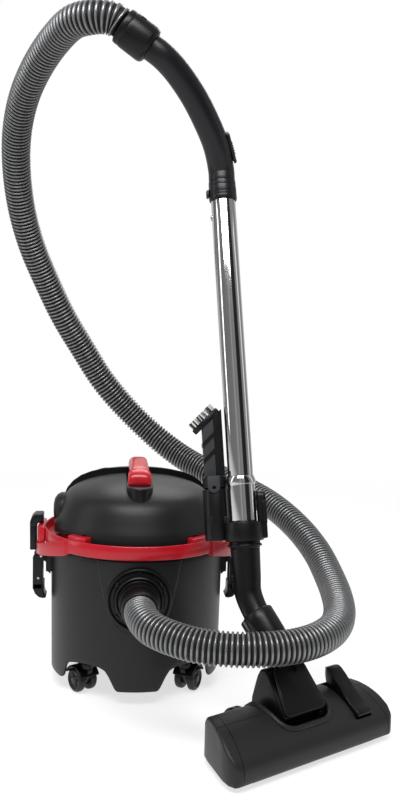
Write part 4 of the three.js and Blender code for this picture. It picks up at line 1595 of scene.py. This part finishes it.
@dataclass(frozen=True)
class Casters:
    """Four twin-wheel swivel casters."""

    spread: float = 73.0
    wheel: float = 18.0
    trail: float = 12.0
    inner: float = 4.6
    outer: float = 16.3

    def build(self) -> None:
        """Makes the casters, each turned its own way."""
        places = (
            ("front_left", -1, -1, 35), ("front_right", 1, -1, -30), ("rear_left", -1, 1, 150),
            ("rear_right", 1, 1, 205),
        )
        for name, sx, sy, yaw in places:
            place = shift(sx * self.spread, sy * self.spread) @ spin(yaw)
            fork = self.fork()
            fork.name = f"{name}_fork_shell"
            finish_piece(fork, Look.BLACK, f"{name}_fork", [f"caster_fork_{name}"], place)
            stem = turned(
                "stem",
                [(0, 57.6), (4.2, 57.6), (4.9, 56.6), (4.9, 50), (6.4, 49.4), (6.4, 46.6), (0, 46.6)],
                32,
                False,
                0.3,
            )
            stem.name = f"{name}_stem"
            finish_piece(stem, Look.STEEL, f"{name}_fork", (), place)
            wheels = self.wheels()
            wheels.name = f"{name}_wheel_pair"
            finish_piece(wheels, Look.WHEEL, f"{name}_wheels", [f"caster_wheels_{name}"], place)

    def wheels(self) -> bpy.types.Object:
        """Two rounded wheels with ribbed hubs, on their axle.

        Returns:
            The pair, about the swivel.
        """
        r = self.wheel
        tyre = [
            (0, 5), (r - 2.2, 5), (r - 0.5, 6.2), (r, 8.2), (r, 12.2), (r - 0.7, 14.2), (r - 2.6, 15.8),
            (r - 4.4, 16.2), (12.4, 15.2), (11.4, 13.8), (6.8, 13.4), (6, 15.6), (4.6, 16.3), (0, 16.3),
        ]
        right = turned("tyre", tyre, 56, False, 0.4)
        spokes = [
            moved(block("spoke", (-0.8, 6, 12.6), (0.8, 12.4, 14.6), 0.3), spin(60 * i))
            for i in range(6)
        ]
        side = moved(join("side", [right, *spokes]), shift(0, self.trail, r) @ ALONG_X)
        twin = copy_of(side, "twin", MIRROR_X)
        axle = moved(rod("axle", 2.3, -5.5, 5.5, 20, 0.0), shift(0, self.trail, r) @ ALONG_X)
        return join("wheel_pair", [side, twin, axle])

    def fork(self) -> bpy.types.Object:
        """The hood over the wheels and the spine between them.

        Returns:
            The fork, about the swivel.
        """
        spine = side_prism(
            "spine",
            [(-7, 44.5), (-9.4, 36), (-4, 22), (6, 8.6), (18, 8.6), (30, 22), (25, 36), (12, 44.5)],
            -self.inner + 0.4,
            self.inner - 0.4,
            1.0,
        )
        skin = [
            *arc(self.trail, self.wheel, 22.6, 158, 22, 16), *arc(self.trail, self.wheel, 20, 22, 158, 16)
        ]
        hood = side_prism("hood", skin, -16.6, 16.6, 1.2)
        boss = turned("boss", [(0, 46.4), (8, 46.4), (9.4, 45), (9.4, 38), (0, 38)], 40, False, 0.5)
        return join("fork", [spine, hood, boss])


# ---------- wand, handle and tool ----------


@dataclass(frozen=True)
class Wand:
    """The chrome wand with its handle above, elbow below and the tool beside it."""

    foot: Point = (140, -184, 272)
    top: Point = (110, -80, 728)
    radius: float = 17.5
    joint: float = 68.0
    cradle: Pair = (-34.0, 18.0)
    tool_lean: float = -42.0
    brush: Pair = (23.6, 11.5)
    cuff_start: Point = (-38.0, -146.0, 944.8)
    cuff_end: Point = (1.5, -145.0, 918.0)

    @property
    def length(self) -> float:
        """From the wand's foot to the handle's collar."""
        return (Vector(self.top) - Vector(self.foot)).length

    @property
    def place(self) -> Matrix:
        """The wand's own frame."""
        return aimed(self.foot, self.top)

    def along(self, height: float) -> Point:
        """A point of the wand's axis."""
        return tuple(self.place @ Vector((0.0, 0.0, height)))

    def build(self) -> None:
        """Makes the wand and all that it carries."""
        self.tubes()
        self.collar()
        self.handle()
        self.elbow()
        self.holder()
        self.tool()

    def tubes(self) -> None:
        """The two chromed tubes and the bead of their joint."""
        r, j = self.radius, self.joint
        upper = turned(
            "upper",
            [(r, self.length + 15), (r, j - 10), (r - 1.2, j - 10), (r - 1.2, self.length + 15)],
            96,
            True,
            0.3,
        )
        carve(upper, block("key_notch", (-24, -5.6, self.length + 3), (-12, 5.6, self.length + 20), 0.0))
        upper.name = "wand_tube_upper"
        finish_piece(upper, Look.CHROME, "canister", ["wand_upper"], self.place)
        dimple = moved(
            turned("dimple", [(0, 19.6), (2.4, 19.4), (4.2, 18.6), (4.8, 17), (0, 17)], 32, False, 0.4),
            spin(-90, "Y"),
        )
        dimple.name = "wand_button_dimple"
        finish_piece(dimple, Look.CHROME, "canister", (), self.place @ shift(z=self.length - 26))
        lower = turned(
            "wand_tube_lower",
            [
                (r + 0.4, j + 8), (r + 0.9, j + 7.6), (r + 1.8, j + 5), (r + 2.7, j + 1.8),
                (r + 2.7, j - 0.6), (r + 1.7, j - 3.6), (r + 1.2, j - 6), (r + 1.2, -20), (r + 0.3, -20),
            ],
            96,
            True,
            0.3,
        )
        finish_piece(lower, Look.CHROME, "canister", ["wand_lower"], self.place)

    def collar(self) -> None:
        """The black collar at the wand's top, with its rings, slots and lock button."""
        r, top = self.radius, self.length
        rings = [(r + 0.3, top - 1.6), (r + 1.8, top - 1.6), (r + 2.4, top + 1)]
        for z in (5.0, 9.0):
            rings += [(r + 2.3, top + z - 0.6), (r + 1.8, top + z), (r + 2.3, top + z + 0.6)]
        rings += [
            (r + 2.2, top + 14), (r + 1.9, top + 19), (r + 1.6, top + 19.3), (r + 1.9, top + 19.6),
            (r + 1.7, top + 26), (r - 0.1, top + 26), (r - 0.1, top + 17), (r + 0.3, top + 17),
        ]
        collar = turned("grip_collar", rings, 96, True, 0.2)
        for z in (3.6, 12.2):
            carve(collar, block("slot", (10, -9, top + z), (24, 5, top + z + 1.8), 0.0))
        carve(collar, block("window", (-30, -5.3, top + 3), (0, 5.3, top + 14.5), 0.0))
        finish_piece(collar, Look.TUBE_BLACK, "canister", ["handle_collar"], self.place)
        button = block("lock_key", (-23.4, -4.9, top + 3.4), (-19.6, 4.9, top + 14.1), 1.4)
        finish_piece(button, Look.TUBE_BLACK, "wand_lock", ["lock_button"], self.place)

    def handle(self) -> None:
        """The curved handle tube, the hose's cuff and the air slide."""
        route = Route(
            [
                (-6, -145.2, 923), (3, -145, 917), (14.6, -144.4, 909.2), (33, -137, 894), (59, -124, 864),
                (81, -107, 831), (97, -89, 802),
                self.along(self.length + 44),
                self.along(self.length + 26.4),
            ]
        )
        count = 60
        rings = [(route.length * i / count, 18.0 + 0.7 * i / count) for i in range(count + 1)]
        tube = pipe_along("handle_grip_tube", route, rings, 15.5, 56, 0.4)
        finish_piece(tube, Look.TUBE_BLACK, "canister", ["handle_tube"])
        place = aimed(self.cuff_start, self.cuff_end)
        reach = (Vector(self.cuff_end) - Vector(self.cuff_start)).length
        cuff = turned(
            "hose_cuff",
            [
                (19, 0), (23, 0), (24.6, 1.2), (25, 4), (25.2, 8), (24.6, 8.6), (24.6, 9.4), (25.4, 10),
                (25.6, 13), (25.8, reach - 8), (25, reach - 4.4), (23, reach - 1.6), (19.6, reach - 0.4),
                (19, reach - 0.4),
            ],
            96,
            True,
            0.5,
        )
        carve(cuff, moved(block("notch", (-3, -26, 16), (3, -23.6, 23), 0.0), spin(120)))
        finish_piece(cuff, Look.BLACK, "canister", ["handle_cuff"], place)
        slide = aimed((93.2, -95, 812), (106.2, -76, 780), (1, 0, 0.4))
        shoe = prism(
            "shoe",
            [(17, -8), (19.6, -8), (21.8, -5.4), (22.4, 0), (21.8, 5.4), (19.6, 8), (17, 8)],
            0,
            44,
            1.2,
        )
        carve(shoe, rod("bore", 18.2, -10, 60, 48, 0.0))
        ribs = [block("rib", (21.6, -5, z), (23, 5, z + 1.5), 0.5) for z in (14, 18, 22, 26, 30)]
        finish_piece(join("air_shoe", [shoe, *ribs]), Look.TUBE_BLACK, "air_slide", ["suction_slide"], slide)

    def elbow(self) -> None:
        """The sleeve, the bent elbow and its ring."""
        r = self.radius
        sleeve = turned(
            "wand_sleeve",
            [
                (r + 1.6, 12), (20.4, 12), (21.2, 10.6), (21.4, 6), (21.4, -17), (23.2, -17.6), (23.6, -19),
                (23.2, -20.4), (21, -21), (20.6, -23), (r + 1.6, -23),
            ],
            96,
            True,
            0.3,
        )
        finish_piece(sleeve, Look.BLACK, "canister", ["elbow_sleeve"], self.place)
        start = Vector(FloorHead.neck_top)
        way = (Vector(FloorHead.neck_foot) - start).normalized()
        route = Route(
            [
                self.along(-23.6), self.along(-60), self.along(-82), tuple(start - way * 6),
                tuple(start + way * 14),
            ]
        )
        count = 48
        rings = []
        for i in range(count + 1):
            share = i / count
            rings.append((route.length * share, 20.3 - 2.4 * min(share * 1.25, 1.0)))
        pipe = pipe_along("bent_elbow", route, rings, 15, 56, 0.3)
        fins = []
        for height in (-62, -72):
            fins.append(moved(block("fin", (-21.4, -3, -3), (-16, 3, 3), 1.0), self.place @ shift(z=height)))
        finish_piece(join("elbow_pipe", [pipe, *fins]), Look.BLACK, "canister", ["elbow"])

    def holder(self) -> None:
        """The accessory clip on the wand, with a closed and an open cradle."""
        clamp = turned("clamp", [(21.7, -13), (26.4, -13), (26.4, 13), (21.7, 13)], 72, True, 0.9)
        cradle = moved(
            turned("cradle", [(15.1, -11), (18, -11), (18, 60), (15.1, 60)], 64, True, 0.9),
            shift(*self.cradle),
        )
        web = block("web", (-45, 2, -11), (-19, 17, 22), 1.6)
        carve(web, rod("clear", 21.9, -20, 90, 64, 0.0))
        carve(web, moved(rod("clear", 15.2, -20, 90, 64, 0.0), shift(*self.cradle)))
        carve(cradle, rod("clear", 21.9, -20, 90, 64, 0.0))
        arm = side_prism("arm", [(-8, -11), (8, -11), *arc(0, 46, 8.4, 0, 180, 12)], 20, 32, 2.6, 4)
        carve(arm, rod("clear", 21.9, -20, 90, 64, 0.0))
        lip = side_prism("lip", [(-10, 10), (-8, 10), (-8, 40), (-10, 40)], 26, 32, 0.8)
        finish_piece(
            join("tool_clip", [clamp, cradle, web, arm, lip]),
            Look.BLACK,
            "canister",
            ["tool_holder"],
            self.place,
        )

    def tool(self) -> None:
        """The combination tool: body with two bands, collar, and an oval brush."""
        lean = spin(self.tool_lean, "Y")
        body = block("tool_body", (-48, 9, 64), (-20.5, 26, 176), 2.4)
        carve(body, moved(block("slant", (-70, -40, 0), (70, 40, 90), 0.0), shift(-38, 18, 155) @ lean))
        spine = block("tool_spine", (-34, 8.2, 62), (-19.8, 26.8, 178), 3.4, 4)
        carve(spine, moved(block("slant", (-70, -40, 0), (70, 40, 90), 0.0), shift(-38, 18, 154.4) @ lean))
        finish_piece(body, Look.TOOL, "accessory", ["combi_tool"], self.place)
        spigot = moved(
            turned(
                "tool_spigot",
                [(0, 8), (14.2, 8), (14.2, 61), (17.4, 62), (17.4, 76), (15.4, 78.4), (0, 78.4)],
                56,
                False,
                0.8,
            ),
            shift(*self.cradle),
        )
        bands = [spigot, spine]
        for height in (110, 133):
            band = moved(
                block("band", (-22, -10.4, -2.4), (22, 10.4, 2.4), 0.8), shift(-36, 17.5, height) @ lean
            )
            bands.append(carve(band, block("cover", (-49, 7.8, 40), (-21, 27.2, 190), 2.4), "INTERSECT"))
        finish_piece(join("tool_trim", bands), Look.BLACK, "accessory", (), self.place)
        tab = side_prism(
            "tab",
            [(-46, 78), (-29, 78), (-29, 64), *arc(-37.5, 63, 8.5, 0, -180, 12), (-46, 64)],
            -1.6,
            1.4,
            0.8,
        )
        moved(tab, Matrix(((0, 1, 0, 0), (-1, 0, 0, 0), (0, 0, 1, 0), (0, 0, 0, 1))))
        carve(tab, moved(rod("eye", 2.6, -5, 5, 24, 0.0), shift(-37.5, 0, 62) @ spin(90, "X")))
        finish_piece(tab, Look.TOOL, "accessory", (), self.place)
        head = shift(-39, 18, 152.6) @ lean
        wide, deep = self.brush
        turns = [2 * math.pi * i / 40 for i in range(40)]
        oval = [(wide * math.cos(turn), deep * math.sin(turn)) for turn in turns]
        plate = prism("brush_plate", oval, 0, 8, 1.6)
        finish_piece(plate, Look.BLACK, "accessory", (), self.place @ head)
        pale, dark = [], []
        for row in range(3):
            count = (9, 15, 20)[row]
            for i in range(count):
                turn = 2 * math.pi * (i + 0.5 * row) / count
                reach = (0.28, 0.58, 0.86)[row]
                x, y = wide * reach * math.cos(turn), deep * reach * math.sin(turn)
                tuft = turned("tuft", [(0, 17.4), (1.25, 17.2), (1.0, 7.5), (0, 7.5)], 8, False, 0.0)
                (pale if (i + row) % 3 else dark).append(moved(tuft, shift(x, y)))
        finish_piece(join("pale_tufts", pale), Look.BRISTLE, "accessory", ["combi_brush"], self.place @ head)
        finish_piece(join("dark_tufts", dark), Look.DARK_BRISTLE, "accessory", (), self.place @ head)


# ---------- floor head ----------


@dataclass(frozen=True)
class FloorHead:
    """The wheeled floor head with its neck, cover plate and pedal."""

    neck_top: Point = (156, -218, 167)
    neck_foot: Point = (188, -257, 117)
    origin: Point = (202, -277, 0)
    yaw: float = 32.0
    pivot: Point = (0.0, 8.0, 38.0)
    roller_axle: Point = (0.0, 79.0, 20.0)
    section: tuple[Pair, ...] = (
        (-46, 6), (-48.6, 14), (-49, 24), (-46.4, 32), (-41, 38.6), (-33, 45.4), (-24, 51.6), (-14, 57.6),
        (-4, 62), (8, 65), (20, 66), (31, 64.6), (40, 60.4), (46, 53), (48, 44), (48, 12), (44, 6),
    )

    @property
    def place(self) -> Matrix:
        """The head's own frame."""
        return shift(*self.origin) @ spin(self.yaw)

    def build(self) -> None:
        """Makes the floor head."""
        self.hood()
        self.sole()
        self.neck()
        self.rollers()
        self.pedal()

    def top(self, y: float) -> float:
        """Height of the hood's surface.

        Args:
            y: How far back.

        Returns:
            The height.
        """
        upper = self.section[3:14]
        for (y0, z0), (y1, z1) in zip(upper, upper[1:]):
            if y0 <= y <= y1:
                return z0 + (z1 - z0) * (y - y0) / (y1 - y0)
        return upper[0][1] if y < upper[0][0] else upper[-1][1]

    def hood(self) -> None:
        """The hood: its curved section cut to the plan, with its recess, slot and seams."""
        hood = side_prism("hood", self.section, -142, 142, 0.0)
        plan = [
            (-122, -52), (122, -52), (131, -49), (137.5, -43), (140, -34), (138, -20), (122, 30), (117, 42),
            (108, 50), (-108, 50), (-117, 42), (-122, 30), (-138, -20), (-140, -34), (-137.5, -43),
            (-131, -49),
        ]
        carve(hood, prism("plan", plan, -10, 90, 0.0), "INTERSECT")
        bevel(hood, 5.0, 4, 38.0)
        apply_stack(hood)
        carve(hood, block("recess", (-46, -26, 20), (46, 90, 120), 7.0, 4))
        carve(hood, block("pedal_slot", (73.5, -40, 30), (102.5, 34, 110), 2.0))
        carve(hood, block("pocket", (-108, -44, -10), (108, 40, 15), 0.0))
        for x in (-116, 116):
            carve(
                hood,
                moved(
                    block("seam", (-0.4, -80, 2), (0.4, 80, 110), 0.0),
                    shift(x) @ spin(-12 if x < 0 else 12, "Z"),
                ),
            )
        carve(hood, block("top_seam", (-150, 2.2, 56), (-52, 2.9, 90), 0.0))
        carve(hood, block("top_seam_right", (108, 2.2, 56), (150, 2.9, 90), 0.0))
        finish_piece(hood, Look.HOOD, "floor_head", ["head_hood"], self.place, 30.0)
        self.rim()

    def rim(self) -> None:
        """The raised U-shaped rim round the recess."""
        points: list[Point] = []
        path = [
            (-47, 44), (-47, 30), (-47, 14), (-46.4, -6), (-43.6, -18), (-36, -26), (-24, -29.4), (0, -30)
        ]
        path += [(-x, y) for x, y in path[-2::-1]]
        for x, y in path:
            points.append((x, y, self.top(y) + 0.4))
        route = Route(points, 16)
        count = 90
        rim = pipe_along("recess_rim", route, route.rings(count, 3.6), 0.6, 14)
        finish_piece(rim, Look.HOOD, "floor_head", (), self.place)

    def sole(self) -> None:
        """The sole plate with its mouth and gliders, and the brush strip."""
        sole = block("sole_slab", (-107.4, -35.8, 0.6), (107.4, 39.4, 5), 1.0)
        carve(sole, block("mouth", (-85, -22, -5), (85, -6, 12), 3.0))
        gliders = [
            block("glider", (x - 14, y - 3, 0.0), (x + 14, y + 3, 2.0), 0.9)
            for x in (-92, 92)
            for y in (-14, 26)
        ]
        finish_piece(join("sole", [sole, *gliders]), Look.BLACK, "floor_head", ["sole_plate"], self.place)
        tufts = []
        for i in range(60):
            x = -104 + 208 * i / 59
            tufts.append(
                moved(
                    turned("tuft", [(0, 13), (1.3, 13), (1.6, 4.1), (0, 4.0)], 6, False, 0.0), shift(x, -40)
                )
            )
        strip = join("brush_tufts", [block("strip", (-106.8, -42.6, 9.5), (106.8, -37.4, 13), 0.6), *tufts])
        finish_piece(strip, Look.DARK_BRISTLE, "brush", ["brush_strip"], self.place)

    def neck(self) -> None:
        """The neck's socket, the yoke and its cover plate."""
        place = aimed(self.neck_top, self.neck_foot)
        socket = turned(
            "socket",
            [(18.7, 0), (21.2, 0), (22.1, 1.4), (22.3, 12), (22.3, 60), (17, 60), (17, 20), (18.7, 20)],
            96,
            True,
            0.4,
        )
        lug = block("lug", (-26, -5, 2), (-20, 5, 26), 1.6)
        finish_piece(join("neck_collar", [socket, lug]), Look.BLACK, "neck", ["neck_socket"], place)
        shape = [
            (-15, 55), (-15.6, 59), (19, 103.6), (27, 108.6), (36, 107), (42, 96), (47, 80), (53, 60),
            (60, 44), (86, 30), (89, 16), (80, 11.6), (52, 24), (24, 34), (8, 23.6), (-6, 36),
        ]
        yoke = side_prism("yoke", shape, -33, 33, 3.0)
        inner = self.place.inverted() @ place
        carve(yoke, moved(rod("bore", 22.5, -80, 40, 64, 0.0), inner))
        tail = block("tail_left", (-60, 50, -10), (-23, 120, 150), 0.0)
        carve(yoke, tail)
        carve(yoke, block("tail_right", (23, 50, -10), (60, 120, 150), 0.0))
        stub = moved(rod("stub", 3, -44.4, 44.4, 24, 0.4), shift(*self.roller_axle) @ ALONG_X)
        finish_piece(join("yoke_shell", [yoke, stub]), Look.BLACK, "neck", ["yoke"], self.place)
        outline = [
            (-24.5, 64), (-27, 60),
            *arc(-27, 9, 8.6, 188, 270, 6),
            *arc(27, 9, 8.6, -90, -8, 6),
            (27, 60), (24.5, 64),
        ]
        cover = prism("cover", outline, 0, 5.2, 2.0, 4)
        carve(cover, block("notch", (-9, 54, 3), (9, 70, 9), 1.0))
        finish_piece(
            cover, Look.BLACK, "neck", ["neck_cover"], self.place @ shift(0, -19, 58.6) @ spin(52.6, "X")
        )
        latch = side_prism("cover_latch", [(12, 100), (17, 106.4), (23, 107), (24, 100)], -8.4, 8.4, 0.8)
        finish_piece(latch, Look.BLACK, "neck", (), self.place)
        axle = rod("axle", 4, -55, 55, 24, 0.4)
        axle.name = "pivot_axle"
        finish_piece(axle, Look.STEEL, "neck", ["yoke_axle"], self.place @ shift(*self.pivot) @ ALONG_X)

    def rollers(self) -> None:
        """The two rear wheels, ringed like turned hubs."""
        for side, node in ((1, "roller_right"), (-1, "roller_left")):
            tyre = [
                (3.3, 25.5), (18.6, 25.5), (19.6, 26.4), (20, 28), (20, 32), (19.3, 32.6), (19.3, 33.4),
                (20, 34), (20, 40), (19.4, 42), (17.8, 43), (15.6, 43), (14.8, 41.2), (12.8, 41.2),
                (12, 42.4), (10.4, 42.4), (9.6, 40.6), (7.2, 40.6), (6.4, 42.6), (3.3, 42.6),
            ]
            wheel = moved(turned("roller", tyre, 72, True, 0.3), ALONG_X)
            wheel.name = node + "_wheel"
            flip = MIRROR_X if side < 0 else Matrix()
            body = "right_roller" if side > 0 else "left_roller"
            finish_piece(moved(wheel, flip), Look.WHEEL, body, [node], self.place @ shift(*self.roller_axle))

    def pedal(self) -> None:
        """The rocker pedal on its pin."""
        outline = [
            (-41, 43), (-42, 46.5), (-39.6, 49.4), (-34, 51.4), (-24, 56.8), (-12, 65), (0, 74.6), (10, 82.4),
            (18, 88), (24, 90), (29, 88.6), (30.6, 84), (27.6, 76), (18, 67.6), (10, 61), (3, 46.4),
            (-3, 42.6), (-12, 47), (-30, 42.6),
        ]
        rocker = side_prism("rocker", outline, 75, 101, 1.2, 3)
        plan = [
            (75, -50), (101, -50), (101, -20), (99.6, -6), (100.4, 8), (100, 22), (95, 30), (88, 32),
            (81, 30), (76, 22), (75.6, 8), (76.4, -6), (75, -20),
        ]
        carve(rocker, prism("plan", plan, 30, 110, 1.0), "INTERSECT")
        bevel(rocker, 1.0, 2, 50.0)
        apply_stack(rocker)
        pin = moved(rod("pin", 4, 66.5, 109.5, 24, 0.4), shift(0, -4, 50) @ ALONG_X)
        finish_piece(join("rocker_pedal", [rocker, pin]), Look.BLACK, "foot_pedal", ["pedal"], self.place)


# ---------- the parts kept as packed ----------


def dress_inner_parts() -> None:
    """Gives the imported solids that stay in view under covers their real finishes."""
    looks = {
        "rim_gasket": Look.SEAL, "dust_bag": Look.FELT, "bag_collar": Look.TOOL, "motor_deck": Look.BLACK,
        "fan_housing": Look.STEEL, "motor": Look.MOTOR, "fan": Look.STEEL, "filter_basket": Look.FELT,
        "motor_filter": Look.FOAM,
    }
    for name, look in looks.items():
        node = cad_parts[name]
        node.data.materials.clear()
        node.data.materials.append(look.material())
        LOG.info("%s is dressed as %s", name, look.value.name)


def main() -> None:
    """Builds the studio and the machine in order."""
    logging.basicConfig(level=logging.INFO, format="%(message)s")
    Studio().build()
    Hose().build()
    Drum().build()
    MotorHead().build()
    Latches().build()
    Casters().build()
    Wand().build()
    FloorHead().build()
    dress_inner_parts()


if __name__ == "__main__":
    main()
